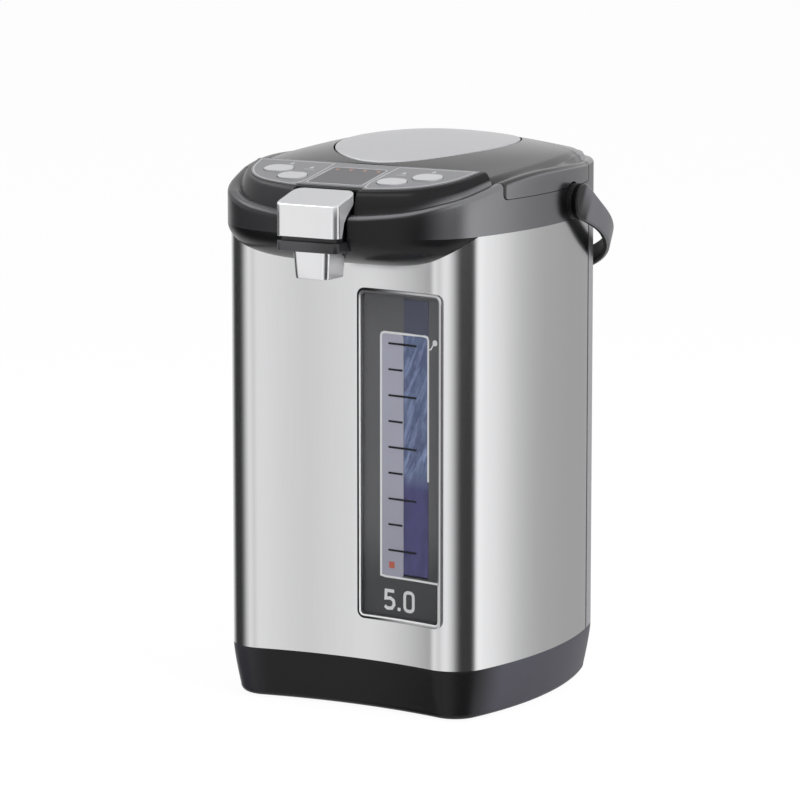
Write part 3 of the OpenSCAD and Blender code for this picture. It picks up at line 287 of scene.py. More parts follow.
def top_rings(low, lidded):
    """Rings up the wall, over the quarter-round rim, along the ledge, up the shoulder and
    across the top."""
    f, top, r = form(), top_at(lidded), RIM_R
    rows = [ring("collar", 0, low),
            ring("collar", 0, lambda x, y: low + 0.5 * (rim_at(x, y) - r - low))]
    for t in np.linspace(0, math.pi / 2, 8):
        rows.append(ring("collar", r * (1 - math.cos(t)),
                         lambda x, y, t=t: rim_at(x, y) - r * (1 - math.sin(t))))
    rows.append(ring("collar", 5.2, lambda x, y: rim_at(x, y) - 0.1))
    rows.append(ring("collar", 6.2, lambda x, y: 0.5 * (rim_at(x, y) + foot_at(x, y)) + 0.05))
    rows.append(ring("collar", 7.2, lambda x, y: foot_at(x, y) + 0.1))
    for t in np.linspace(0, 1, 9):
        e = 1 - (1 - t) ** 1.9
        rows.append(ring("collar", 8 + (f.terrace - 8) * t,
                         lambda x, y, e=e: foot_at(x, y) + e * np.maximum(top(x, y) - foot_at(x, y),
                                 0.2)))
    for k in (0.96, 0.9, 0.83, 0.75, 0.66, 0.57, 0.47, 0.37, 0.27, 0.17, 0.08):
        rows.append(shrunk(f.terrace, k, top))
    return rows


def room_rings(low, lidded):
    """Rings back down the inside, one wall's thickness under the top."""
    f = form()
    rows = [shrunk(f.terrace + 1, k, top_at(lidded), MOULD) for k in (0.3, 0.6, 0.85, 1.0)]
    rows.append(ring("collar", f.terrace - 3, lambda x, y: rim_at(x, y) - MOULD - 1))
    rows.append(ring("collar", MOULD, lambda x, y: rim_at(x, y) - MOULD - 1.5))
    rows.append(ring("collar", MOULD, low))
    return rows


# ---------------------------------------------------------------- meshes

def new_object(name, points, faces, smooth=38.0):
    """A mesh object from points in millimetres; edges sharper than the angle stay crisp."""
    me = bpy.data.meshes.new(name)
    me.from_pydata((np.asarray(points, float) * MM).tolist(), [],
                   [list(map(int, q)) for q in faces])
    me.validate()
    ob = bpy.data.objects.new(name, me)
    bpy.context.scene.collection.objects.link(ob)
    soften(ob, smooth)
    return ob


def soften(ob, angle=38.0):
    """Smooth shading, with edges sharper than the angle kept crisp."""
    ob.data.polygons.foreach_set("use_smooth", np.ones(len(ob.data.polygons), bool))
    if hasattr(ob.data, "set_sharp_from_angle"):
        ob.data.set_sharp_from_angle(angle=math.radians(angle))
    ob.data.update()


def grid_faces(rows, cols, wrap_rows=False, wrap_cols=True):
    """Quads between neighbouring rows and columns of a grid, outward for rings that climb counter-
    clockwise."""
    r = np.arange(rows if wrap_rows else rows - 1)
    c = np.arange(cols if wrap_cols else cols - 1)
    R, C = np.meshgrid(r, c, indexing="ij")
    R2, C2 = (R + 1) % rows, (C + 1) % cols
    return np.stack([R * cols + C, R * cols + C2, R2 * cols + C2, R2 * cols + C], -1).reshape(-1, 4)


def lid_strips(first, n, up):
    """Strips across a mirrored ring, from each point to its mirror image."""
    i = np.arange(1, n // 2 - 1)
    q = np.stack([i, i + 1, n - i - 1, n - i], 1) + first
    t = np.array([[0, 1, n - 1], [n // 2 - 1, n // 2, n // 2 + 1]]) + first
    return [f if up else f[::-1] for f in [*q.tolist(), *t.tolist()]]


def sleeve(name, rows, smooth=38.0):
    """A closed tube of rings: up the outside, over, and down the inside back to the first ring."""
    rows = np.array(rows)
    return new_object(name, rows.reshape(-1, 3), grid_faces(len(rows), rows.shape[1],
                                                            wrap_rows=True), smooth)


def loft(name, rows, smooth=38.0):
    """A solid through mirrored rings, closed by strips across its first and last."""
    rows = np.array(rows)
    m, n = rows.shape[:2]
    faces = [*grid_faces(m, n).tolist(), *lid_strips(0, n, False),
             *lid_strips((m - 1) * n, n, True)]
    return new_object(name, rows.reshape(-1, 3), faces, smooth)


def capped(m, n, first=0):
    """Faces of a stack of m rings of n points, closed by a face at its bottom and top."""
    ends = [list(range(n))[::-1], list(range((m - 1) * n, m * n))]
    return [[first + i for i in q] for q in grid_faces(m, n).tolist() + ends]


def stack(name, rows, smooth=38.0):
    """A solid through a stack of rings of equal count."""
    rows = np.array(rows)
    return outward(new_object(name, rows.reshape(-1, 3), capped(*rows.shape[:2]), smooth))


def prism(name, outline, z0, z1):
    """An upright prism over a flat outline."""
    p = np.asarray(outline, float)
    return stack(name, [level(p, z0), level(p, z1)])


def turned(name, axis, outline, a, b):
    """A prism along x or y over an outline given in the other two coordinates."""
    p = np.asarray(outline, float)
    n = len(p)
    if axis == "x":
        return stack(name, [np.column_stack([np.full(n, v), p]) for v in (a, b)])
    return stack(name, [np.column_stack([p[:, 0], np.full(n, v), p[:, 1]]) for v in (b, a)])


def box(a0, a1, b0, b1):
    """A rectangle between two values of each coordinate, as an outline."""
    return [(a0, b0), (a1, b0), (a1, b1), (a0, b1)]


def disc(cy, cz, r, n=64):
    """A round outline in two coordinates."""
    a = np.linspace(0, 2 * math.pi, n, endpoint=False)
    return np.column_stack([cy + r * np.cos(a), cz + r * np.sin(a)])


def quarter(cx, cy, r, k, n):
    """The k-th quarter of a circle counter-clockwise from +x, in n steps."""
    a = np.radians(np.linspace(90 * k, 90 * k + 90, n + 1))
    return np.column_stack([cx + r * np.cos(a), cy + r * np.sin(a)])


def rounded(x0, x1, y0, y1, r, n):
    """A rectangle with round corners, as a closed outline."""
    corners = box(x0 + r, x1 - r, y0 + r, y1 - r)
    return np.concatenate([quarter(*corners[(k + 2) % 4], r, k, n) for k in range(4)])


def round_box(w, y0, y1, front_r, rear_r, s=0.0, n=7):
    """A box of width w seen from above with round corners, set in by s."""
    out = []
    for k, r in enumerate((rear_r, rear_r, front_r, front_r)):
        q = max(r - s, 0.05)
        side = 1 if k in (0, 3) else -1
        y = y1 - s - q if k < 2 else y0 + s + q
        out.append(quarter(side * (w / 2 - s - q), y, q, k, n))
    return np.concatenate(out)


def outward(ob):
    """Turns every face of a closed mesh to the outside."""
    bm = bmesh.new()
    bm.from_mesh(ob.data)
    bmesh.ops.recalc_face_normals(bm, faces=bm.faces)
    bm.to_mesh(ob.data)
    bm.free()
    ob.data.update()
    return ob


def strip_of(path, width):
    """The outline of a flat line of one width along a path: the path pushed to both sides by half
    the width, mitred where it turns."""
    p = np.asarray(path, float)
    d = np.diff(p, axis=0)
    d /= np.linalg.norm(d, axis=1)[:, None]
    n = np.column_stack([-d[:, 1], d[:, 0]])
    m = np.concatenate([n[:1], n[:-1] + n[1:], n[-1:]])
    m *= (width / 2) / np.maximum(np.sum(m * np.concatenate([n[:1], n]), axis=1), 0.35)[:, None]
    return np.concatenate([p + m, (p - m)[::-1]])


def loop_of(x0, x1, z0, z1, r, step=2.0):
    """A closed round-cornered frame line: its corners are quarter circles, its sides are divided
    finely to follow a bowed face."""
    parts = rounded(x0, x1, z0, z1, r, 6).reshape(4, -1, 2)
    out = []
    for k in range(4):
        a, b = parts[k][-1], parts[(k + 1) % 4][0]
        n = max(2, int(np.linalg.norm(b - a) / step))
        out += [parts[k], a + (b - a) * (np.arange(1, n) / n)[:, None]]
    return np.concatenate(out)


def on_hollow(flat, d):
    """Points of x and z laid on the hollow front, d behind its face: y is the hollow circle's
    centre plus the root of (radius + d) squared less x squared."""
    c = centres()
    y = c.recess_y - c.recess_r + np.sqrt((c.recess_r + d) ** 2 - flat[:, 0] ** 2)
    return np.column_stack([flat[:, 0], y, flat[:, 1]])


def on_deck(flat, d):
    """Points of x and y laid on the control panel, d above its face."""
    return np.column_stack([flat, deck_at(flat[:, 0], flat[:, 1]) + PANEL_T + d])


def plates(name, outlines, lay, low, high):
    """Thin closed plates: each outline is laid on a face twice, low and high, and walled round."""
    pts, faces, k = [], [], 0
    for flat in outlines:
        flat = np.asarray(flat, float)
        pts += [lay(flat, low), lay(flat, high)]
        faces += capped(2, len(flat), k)
        k += 2 * len(flat)
    return outward(new_object(name, np.concatenate(pts), faces, 30))


def cut(ob, other, mode="DIFFERENCE"):
    """Cuts off, joins or keeps what two closed meshes share, and removes the second."""
    m = ob.modifiers.new("cut", "BOOLEAN")
    m.operation, m.object, m.solver = mode, other, "EXACT"
    dg = bpy.context.evaluated_depsgraph_get()
    me = bpy.data.meshes.new_from_object(ob.evaluated_get(dg))
    ob.modifiers.clear()
    ob.data = me
    bpy.data.objects.remove(other)
    soften(ob)
    return ob


def ease(v, lo, hi):
    """0 below lo, 1 above hi, with a smooth rise between."""
    t = np.clip((v - lo) / (hi - lo), 0, 1)
    return t * t * (3 - 2 * t)


def sheen(ob, share):
    """Stores how far each point takes its moulding's second tone, which mostly stands for painted
    light and shade: a share given by a function of x, y and z."""
    co = np.empty(len(ob.data.vertices) * 3)
    ob.data.vertices.foreach_get("co", co)
    x, y, z = co.reshape(-1, 3).T / MM
    a = ob.data.attributes.new("sheen", "FLOAT", "POINT")
    a.data.foreach_set("value", np.clip(share(x, y, z), 0, 1).astype(np.float32))


def dress(ob, body, mat, replaces=()):
    """Material, body and the CAD nodes that a piece stands for."""
    ob.data.materials.clear()
    ob.data.materials.append(mat)
    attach(ob, body)
    if replaces:
        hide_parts(*replaces)
    return ob


# ---------------------------------------------------------------- shader maths

class Val:
    """A socket or number whose + - * / and comparisons add Math nodes."""
    def __init__(self, net, socket):
        self.net, self.socket = net, socket

    def _math(self, op, a, b=None):
        return self.net.math(op, a, b)

    def __add__(self, o): return self._math("ADD", self, o)
    __radd__ = __add__
    def __mul__(self, o): return self._math("MULTIPLY", self, o)
    __rmul__ = __mul__
    def __sub__(self, o): return self._math("SUBTRACT", self, o)
    def __rsub__(self, o): return self._math("SUBTRACT", o, self)
    def __truediv__(self, o): return self._math("DIVIDE", self, o)
    def __gt__(self, o): return self._math("GREATER_THAN", self, o)
    def __lt__(self, o): return self._math("LESS_THAN", self, o)
    def __abs__(self): return self._math("ABSOLUTE", self)


class Net:
    """The nodes of a material or the world. node() adds any node; its settings come first, then its
    inputs."""
    def __init__(self, name, world=None):
        self.mat = world or bpy.data.materials.new(name)
        self.mat.use_nodes = True
        self.tree = self.mat.node_tree
        self.tree.nodes.clear()
        self.out = self.tree.nodes.new("ShaderNodeOutput" + ("World" if world else "Material"))

    def node(self, kind, settings=None, **inputs):
        n = self.tree.nodes.new(kind)
        for k, v in (settings or {}).items():
            if k == "stops":
                stops = n.color_ramp.elements
                stops.remove(stops[1])
                for i, (pos, col) in enumerate(v):
                    e = stops[0] if i == 0 else stops.new(pos)
                    e.position, e.color = pos, (*col, 1)
            else:
                setattr(n, k, v)
        for k, v in inputs.items():
            by_number = k[0] == "i" and k[1:].isdigit()
            self.feed(n.inputs[int(k[1:]) if by_number else k.replace("_", " ")], v)
        return n

    def feed(self, socket, v):
        if isinstance(v, Val):
            v = v.socket
        if isinstance(v, bpy.types.NodeSocket):
            self.tree.links.new(v, socket)
        elif hasattr(socket.default_value, "__len__"):
            v = list(v)
            socket.default_value = v + [1.0] * (len(socket.default_value) - len(v))
        else:
            socket.default_value = v

    def math(self, op, a, b=None, clamp=False):
        second = {} if b is None else {"i1": b}
        n = self.node("ShaderNodeMath", {"operation": op, "use_clamp": clamp}, i0=a, **second)
        return Val(self, n.outputs[0])

    def clamp(self, v):
        return self.math("ADD", v, 0.0, clamp=True)

    def smooth(self, v, lo, hi):
        """0 below lo, 1 above hi, with a smooth rise between."""
        n = self.node("ShaderNodeMapRange", {"interpolation_type": "SMOOTHSTEP"}, i0=v, i1=lo,
                      i2=hi, i3=0.0, i4=1.0)
        return Val(self, n.outputs[0])

    def place(self):
        """x, y and z of the object's own coordinates, in millimetres."""
        c = self.node("ShaderNodeTexCoord")
        s = self.node("ShaderNodeSeparateXYZ", None, i0=c.outputs["Object"])
        return [Val(self, o) * 1000.0 for o in s.outputs], c.outputs["Object"]

    def noise(self, coord, scale, stretch=(1, 1, 1), detail=2.0, rough=0.5):
        m = self.node("ShaderNodeMapping", None, Vector=coord, Scale=stretch)
        n = self.node("ShaderNodeTexNoise", {"noise_dimensions": "3D"}, Vector=m.outputs[0],
                      Scale=scale, Detail=detail, Roughness=rough)
        return Val(self, n.outputs[0])

    def mix(self, fac, a, b):
        n = self.node("ShaderNodeMix", {"data_type": "RGBA"}, i0=fac, i6=a, i7=b)
        return n.outputs[2]

    def bump(self, height, strength, distance):
        return self.node("ShaderNodeBump", None, Strength=strength, Distance=distance,
                         Height=height).outputs[0]

    def show(self, kind, **inputs):
        """One shader node, straight to the output."""
        b = self.node(kind, None, **inputs)
        self.tree.links.new(b.outputs[0], self.out.inputs[0])
        return self.mat

    def shade(self, **inputs):
        """The one Principled shader."""
        return self.show("ShaderNodeBsdfPrincipled", **inputs)

    def seen(self):
        """1 for rays from the camera, through clear pieces or off glossy ones, otherwise 0."""
        path = self.node("ShaderNodeLightPath")
        a, b, c = [Val(self, path.outputs[f"Is {k} Ray"]) for k in ("Camera", "Transmission",
                "Glossy")]
        return self.math("MAXIMUM", self.math("MAXIMUM", a, b), c)


def tone(colour, k):
    """A colour made darker or lighter by a factor."""
    return tuple(min(1, c * k) for c in colour)


def plastic(name, colour, rough, coat=0.0, grain=0.15, spread=0.06, metallic=0.0, spec=0.5,
            far=None, ramp=None, far_metallic=None):
    """A moulded plastic or painted coat: faint colour clouding, fine surface grain, and gloss that
    varies a little. With far, the colour turns into it along x, y or z between two places given
    by ramp."""
    n = Net(name)
    (x, y, z), obj = n.place()
    cloud = n.noise(obj, 14.0, detail=3.0)
    fine = n.noise(obj, 900.0, detail=2.0)
    tint = n.mix(cloud, tone(colour, 1 - spread), tone(colour, 1 + spread))
    if far:
        turn = n.smooth({"x": x, "y": y, "z": z}[ramp[0]], ramp[1], ramp[2])
        tint = n.mix(turn, tint, far)
        if far_metallic is not None:
            metallic = turn * (far_metallic - metallic) + metallic
    return n.shade(Base_Color=tint, Roughness=n.clamp(cloud * 0.06 + (rough - 0.03)),
                   Metallic=metallic,
                   Coat_Weight=coat, Coat_Roughness=0.08, Specular_IOR_Level=spec,
                   Normal=n.bump(fine, grain, 0.0002))


def two_tone_and_painted_light(name, first, second, rough, metallic, coat=0.0, spec=0.22):
    """Two satin tones of a moulding: a stored share turns its first tone and metallic share into
    the second, which mostly stands for painted light and shade."""
    n = Net(name)
    _, obj = n.place()
    cloud, fine = n.noise(obj, 14.0, detail=3.0), n.noise(obj, 900.0)
    share = Val(n, n.node("ShaderNodeAttribute", {"attribute_name": "sheen"}).outputs["Fac"])
    tint = n.mix(share, n.mix(cloud, tone(first, 0.94), tone(first, 1.06)), second)
    return n.shade(Base_Color=tint, Metallic=share * (metallic[1] - metallic[0]) + metallic[0],
                   Roughness=n.clamp(cloud * 0.05 + (rough - 0.025)),
                   Coat_Weight=coat, Coat_Roughness=0.08, Specular_IOR_Level=spec,
                   Normal=n.bump(fine, 0.02, 0.0002))


def steel(name, colour, rough, streak=0.5, along=(260.0, 260.0, 3.0)):
    """Brushed steel: long fine streaks along one direction change the gloss and tip the surface a
    little."""
    n = Net(name)
    _, obj = n.place()
    hair = n.noise(obj, 6.0, stretch=along, detail=4.0, rough=0.65)
    broad = n.noise(obj, 3.0, stretch=(along[0] / 12, along[1] / 12, along[2]), detail=2.0)
    tint = n.mix(n.clamp(hair * 0.7 + broad * 0.3), tone(colour, 0.95), tone(colour, 1.04))
    return n.shade(Base_Color=tint, Metallic=1.0,
                   Roughness=n.clamp(hair * 0.08 * streak + broad * 0.03 + (rough - 0.05)),
                   Normal=n.bump(hair, 0.03 * streak, 0.0002))


def water(name, high, low, change):
    """Water behind the window: a light blue with slanting soft streaks of painted reflection over a
    deeper blue, changing at a height in millimetres."""
    n = Net(name)
    (_, _, z), obj = n.place()
    turn = n.node("ShaderNodeMapping", {"vector_type": "TEXTURE"}, Vector=obj,
                  Rotation=(0.0, 0.42, 0.0), Scale=(0.0042, 1.0, 0.021))
    wave = n.node("ShaderNodeTexNoise", {"noise_dimensions": "3D"}, Vector=turn.outputs[0],
                  Scale=1.0, Detail=3.0, Roughness=0.6)
    # Painted reflection: slanting soft streaks in the upper part.
    streak = n.smooth(Val(n, wave.outputs[0]), 0.45, 0.68) * n.smooth(z, change - 4, change + 10)
    body = n.mix(n.smooth(z, change - 8, change + 8), low, high)
    swirl = n.noise(obj, 150.0, stretch=(1.0, 1.0, 0.4), detail=5.0, rough=0.7)
    body = n.mix(n.smooth(swirl, 0.42, 0.60) * 0.5, body, tone(low, 0.62))
    # Painted highlights: small glints in the upper part.
    glint = n.smooth(swirl, 0.56, 0.68) * n.smooth(z, change - 4, change + 10)
    shade = n.mix(n.clamp(streak * 0.6 + glint * 0.35), body,
                  tuple(min(1, c * 1.9 + 0.05) for c in high))
    return n.shade(Base_Color=shade, Roughness=0.25, Specular_IOR_Level=0.4)


def library():
    """Every finish of the pot, by name."""
    f = finish_of()
    if bpy.data.materials.get("lid_gloss"):
        return {m.name: m for m in bpy.data.materials}
    steel("brushed_steel", f.steel, f.steel_rough)
    steel("rear_steel", tone(f.steel, 0.96), f.steel_rough + 0.04)
    steel("inner_steel", (0.66, 0.66, 0.67), 0.3, 0.8, (4.0, 4.0, 260.0))
    steel("spring_wire", (0.6, 0.6, 0.62), 0.25, 0.4)
    steel("cast_metal", (0.45, 0.45, 0.46), 0.5, 1.0, (20.0, 20.0, 20.0))
    steel("brass", (0.65, 0.5, 0.25), 0.3, 0.3)
    # On the collar, lid and base the second tone is painted light: on their sides, the rear deck
    # and the lid's crown.
    two_tone_and_painted_light("charcoal_gloss", tone(f.charcoal, 0.25), f.satin, 0.25, (0.0, 1.0))
    two_tone_and_painted_light("lid_gloss", tone(f.charcoal, 0.35), f.satin, 0.24, (0.0, 1.0), coat=0.25, spec=0.45)
    two_tone_and_painted_light("handle_grey", tone(f.charcoal, 0.25), tone(f.charcoal, 3.6), 0.34, (0.0, 0.0), coat=0.3)
    two_tone_and_painted_light("base_gloss", tone(f.charcoal, 0.25), f.base, 0.32, (0.0, 0.0))
    plastic("black_matte", f.black, 0.5, grain=0.25, spec=0.3)
    plastic("black_satin", f.black, 0.35, grain=0.05, spec=0.4)
    plastic("liner_black", tone(f.black, 0.4), 0.5, grain=0.1, spec=0.06)
    # Painted light and shade: the nose band is lighter on the left and darker towards the right.
    plastic("nose_black", tone(f.charcoal, 1.5), 0.3, coat=0.2, grain=0.03,
            far=tone(f.charcoal, 0.5), ramp=("x", -6.0, 20.0))
    two_tone_and_painted_light("cap_silver", f.silver, tone(f.silver, 0.66), 0.25, (1.0, 0.45))
    plastic("plate_satin", f.plate, 0.42, coat=0.1, grain=0.04, metallic=0.5, spread=0.03)
    plastic("panel_satin", f.panel, 0.5, grain=0.05, spec=0.25, spread=0.04)
    plastic("display_dark", tone(f.panel, 0.55), 0.45, grain=0.03, spec=0.25)
    plastic("window_dark", f.window, 0.4, grain=0.02, spec=0.2, far=tone(f.window, 0.5),
            ramp=("z", 130.0, 80.0))
    # Painted shade and light: the bezel's rim is black on the left and turns to metallic steel
    # towards the right.
    plastic("bezel_black", tone(f.black, 0.5), 0.3, grain=0.02, spec=0.2, far=f.steel,
            ramp=("x", 14.0, 60.0), far_metallic=1.0)
    plastic("mist_print", f.mist, 0.4, grain=0.02, spec=0.3, far=tone(f.mist, 0.86),
            ramp=("z", 190.0, 95.0))
    for name, colour in (("smoke_print", (0.105, 0.11, 0.165)),
                         ("ink_black", (0.004, 0.004, 0.008)),
                         ("mark_orange", (0.60, 0.15, 0.09)), ("print_grey", (0.92, 0.92, 0.93)),
                         ("line_grey", (0.56, 0.56, 0.58))):
        plastic(name, colour, 0.4, grain=0.02, spec=0.3)
    plastic("line_white", (1.0, 1.0, 1.0), 0.35, grain=0.02, spread=0.0)
    two_tone_and_painted_light("bezel_trim", (0.95, 0.95, 0.96), f.window, 0.35, (0.0, 0.0))
    plastic("key_white", (0.60, 0.60, 0.62), 0.4, grain=0.03, spec=0.3)
    water("water_blue", f.water, tuple(c * k for c, k in zip(f.water, (0.58, 0.42, 0.68))), 150.0)
    plastic("white_moulding", (0.62, 0.61, 0.58), 0.45, grain=0.1)
    plastic("milky_silicone", (0.55, 0.53, 0.48), 0.4, grain=0.05)
    plastic("foot_rubber", (0.02, 0.02, 0.02), 0.7, grain=0.4)
    plastic("board_green", (0.03, 0.14, 0.05), 0.35, grain=0.1)
    plastic("wool_felt", (0.6, 0.57, 0.5), 0.9, grain=0.9, spread=0.2)
    plastic("rotor_red", (0.35, 0.07, 0.04), 0.4, grain=0.05)
    plastic("motor_zinc", (0.2, 0.2, 0.21), 0.35, grain=0.1, metallic=0.8)
    plastic("amber_light", (0.40, 0.16, 0.07), 0.25, coat=0.3, grain=0.01)
    n = Net("window_clear")
    _, obj = n.place()
    haze = n.noise(obj, 30.0)
    n.shade(Base_Color=(0.08, 0.09, 0.11), Roughness=n.clamp(haze * 0.04 + 0.03), Alpha=0.06,
            Specular_IOR_Level=0.15)
    return {m.name: m for m in bpy.data.materials}


# ---------------------------------------------------------------- operators

# The CAD nodes that wear each finish
FINISHES = {
    "black_matte": "bottom_cover power_inlet gauge_bezel nose_housing micro_switch "
                   "lid_latch handle_pins pivot_bushings",
    "foot_rubber": "rubber_feet",
    "spring_wire": "base_screws cap_pin cap_spring plate_spring hinge_pin",
    "brass": "inlet_pins",
    "window_clear": "gauge_lens sight_tube",
    "window_dark": "gauge_scale",
    "white_moulding": "tube_fittings neck_plate steam_valve thermostats "
                      "pump_housing",
    "panel_satin": "control_panel",
    "amber_light": "indicator_lights",
    "board_green": "control_board power_board",
    "milky_silicone": "delivery_tube lid_gasket bellows inlet_hose outlet_hose",
    "inner_steel": "lid_liner inner_pot",
    "wool_felt": "insulation",
    "cast_metal": "heater_plate",
    "motor_zinc": "pump_motor",
    "rotor_red": "pump_rotor",
    "key_white": "button_keep_warm button_reboil button_lock button_pour",
    "cap_silver": "spout dispense_cap",
    "handle_grey": "carry_handle",
    "plate_satin": "pump_plate",
    "lid_gloss": "lid",
    "charcoal_gloss": "collar chin_cover",
    "base_gloss": "base_housing",
    "brushed_steel": "outer_shell",
    "rear_steel": "rear_panel",
}


class POT_OT_inner(bpy.types.Operator):
    """Gives every CAD node that stays in view its finish"""
    bl_idname = "pot.inner"
    bl_label = "Finish the inner pieces"

    def execute(self, context):
        m = library()
        kinds = {node: mat for mat, nodes in FINISHES.items() for node in nodes.split()}
        for name, ob in NODES.items():
            ob.data.materials.clear()
            ob.data.materials.append(m[kinds[name]])
        return {"FINISHED"}


class POT_OT_shell(bpy.types.Operator):
    """Steel shell and rear panel as smooth sheets, with the window's round-cornered hole"""
    bl_idname = "pot.shell"
    bl_label = "Steel shell"

    def execute(self, context):
        f, m = form(), library()
        outer, inner = same_half("body", 0), same_half("body", SHEET)
        zs = np.concatenate([[f.base_h], np.linspace(f.base_h + 0.4, f.steel_top - 0.4, 12),
                             [f.steel_top]])
        sheets = (("steel_shell", outer[:, 1] <= f.seam_y, "brushed_steel", "outer_shell"),
                  ("rear_sheet", outer[:, 1] >= f.seam_y + 1.5, "rear_steel", "rear_panel"))
        for name, keep, mat, node in sheets:
            o, i = outer[keep], inner[keep]
            if node == "outer_shell":
                o, i = [np.concatenate([h[:0:-1] * [-1, 1], h]) for h in (o, i)]
            else:
                o, i = [np.concatenate([h, h[-2::-1] * [-1, 1]]) for h in (o, i)]
            plan = np.concatenate([o, i[::-1]])
            n = len(plan)
            rows = np.concatenate([level(plan, z) for z in zs])
            faces = grid_faces(len(zs), n).tolist()
            k = np.arange(len(o) - 1)
            strip = np.stack([k, k + 1, n - 2 - k, n - 1 - k], 1)
            faces += strip[:, ::-1].tolist() + (strip + (len(zs) - 1) * n).tolist()
            ob = outward(new_object(name, rows, faces, 40))
            if node == "outer_shell":
                x0, x1, z0, z1 = WINDOW
                lap = 1.5
                hole = rounded(x0 + lap, x1 - lap, z0 + lap, z1 - lap, WINDOW_R - lap, 8)
                cut(ob, turned("hole", "y", hole, -110, -55))
            else:
                w, h, z = INLET
                hole = box(-w / 2, w / 2, z - h / 2, z + h / 2)
                cut(ob, turned("hole", "y", hole, 100, 130))
            dress(ob, "pot", m[mat], [node])
        a, b = [same_half("body", e) for e in (0.06, SHEET)]
        keep = (a[:, 1] > f.seam_y - 2) & (a[:, 1] < f.seam_y + 3.5)
        plan = np.concatenate([a[keep], b[keep][::-1]])
        ob = plates("seam_strips", [plan, plan * [-1, 1]], level,
                    f.base_h + 0.2, f.steel_top - 0.2)
        dress(ob, "pot", m["black_satin"], ())
        return {"FINISHED"}


class POT_OT_base(bpy.types.Operator):
    """Dark base with its tucked sides and round bottom edge"""
    bl_idname = "pot.base"
    bl_label = "Base"

    def execute(self, context):
        f, m = form(), library()
        tuck, r, low = 4.5, 5, 1
        rows = [ring("body", tuck + r * (1 - math.sin(a)), low + r * (1 - math.cos(a)))
                for a in np.linspace(0, math.pi / 2, 9)]
        rows += [ring("body", tuck * (1 - t) ** 1.3, low + r + (f.base_h - low - r - 0.6) * t)
                 for t in np.linspace(0, 1, 12)[1:]]
        rows += [ring("body", s, z) for s, z in (
            (0.15, f.base_h - 0.2), (0.6, f.base_h), (3, f.base_h),
            (6.5, 13), (10.5, 3.5), (17.5, 3.5), (17.5, low))]
        ob = sleeve("base_skin", rows)
        # Painted light and shade: dark at the front, turning lighter towards the sides and rear,
        # and partly lighter at the front left.
        sheen(ob, lambda x, y, z: ease(y, -76, -46) + 0.6 * ease(-x, 55, 85) * (y < -46))
        dress(ob, "pot", m["base_gloss"], ["base_housing"])
        return {"FINISHED"}


def nose_box(name, c, low):
    """The block of space that the nose and cap take out of the collar."""
    side = box(NOSE_Y - 12, CAP_REAR + 2 * c, low, OVER)
    return turned(name, "x", side, -CAP_W / 2 - c, CAP_W / 2 + c)


def tongue_plan(w, y0, y1, y2):
    """The lid's plan from y0 to y2, with a tongue of half width w that reaches y1."""
    far = ASIDE
    return [(-far, y0), (far, y0), (far, y2), (w, y2), (w, y1), (-w, y1), (-w, y2), (-far, y2)]


def lid_bed(name, c, rear, seam, low):
    """The lid's space: its plan with the hinge tongue, set in by c and longer by rear, less what
    the rounded rear seam and the round lower front corners of the skirts leave in place."""
    tip = HINGE_Y + BARREL + 2.4 - 5 * c
    ob = prism(name, tongue_plan(TONGUE - c, LID_FRONT + 2 * c, tip, LID_REAR + rear), low, OVER)
    r = HINGE_Y - LID_REAR + seam
    a = np.linspace(0, math.pi, 40)
    bow = np.column_stack([HINGE_Y + r * np.cos(a), HINGE_Z + r * np.sin(a)])
    side = [(HINGE_Y - r, 279), (130, 279), (130, HINGE_Z), *bow.tolist()]
    block = turned("seam", "x", side, -160, 160)
    t = TONGUE - seam / 3
    cut(block, turned("tongue", "x", box(0, 200, 250, 400), -t, t))
    cut(ob, block)
    d = 0 if seam == 0 else GAP
    yf, zf, q = LID_FRONT + d, form().steel_top + SKIRT_RISE + d, 4.0
    a = np.radians(np.linspace(270, 180, 12))
    curve = np.column_stack([yf + q + q * np.cos(a), zf + q + q * np.sin(a)])
    corner = [(yf - 5, zf - 5), (yf + q, zf - 5), *curve.tolist(), (yf - 5, zf + q)]
    cut(ob, turned("corner", "x", corner, -160, 160))
    return ob


class POT_OT_collar(bpy.types.Operator):
    """Collar with its rim, terrace and decks, less the lid's bed and the nose's gap"""
    bl_idname = "pot.collar"
    bl_label = "Collar"

    def execute(self, context):
        f, m = form(), library()
        ob = sleeve("collar_skin", top_rings(f.steel_top, False) + room_rings(f.steel_top, False))
        cut(ob, lid_bed("bed", 0, 8, 0, f.steel_top + SKIRT_RISE))
        cut(ob, nose_box("gap", 0.6, 277))
        for x, y in ((-54, -72.6), (-36, -85.6), (36, -85.6), (54, -72.6)):
            cut(ob, prism("key", disc(x, y, 8.0, 32), 320, 360))
        for s in (-1, 1):
            a, b = sorted((s * 90, s * 120))
            cut(ob, turned("socket", "x", disc(*PIVOT, SOCKET_R), a, b))

        def share(x, y, z):
            """Painted light: the sides' light tone and the rear deck's, and a painted highlight, a
            bright line along the rim's round edge."""
            h = z - rim_at(x, y)
            along = ease(y, -106, -78)
            right = (1 - ease(h, 0.3, 1.4)) * along
            left = (1 - ease(h, -2.8, -1.2)) * along * (0.3 + 0.7 * ease(y, -40, 20)) + 0.12
            # A painted highlight along the rim's round edge, stronger on the right.
            edge = np.where(x > 0, 0.9, 0.35) * ease(h, -1.3, -0.5) * (1 - ease(h, 0.05, 0.3))
            sides = np.where(x > 0, right, left * (x < -CAP_W / 2))
            return np.maximum(sides, np.maximum(edge, 0.95 * ease(y, 62, 80)))

        sheen(ob, share)
        dress(ob, "pot", m["charcoal_gloss"], ["collar"])
        return {"FINISHED"}


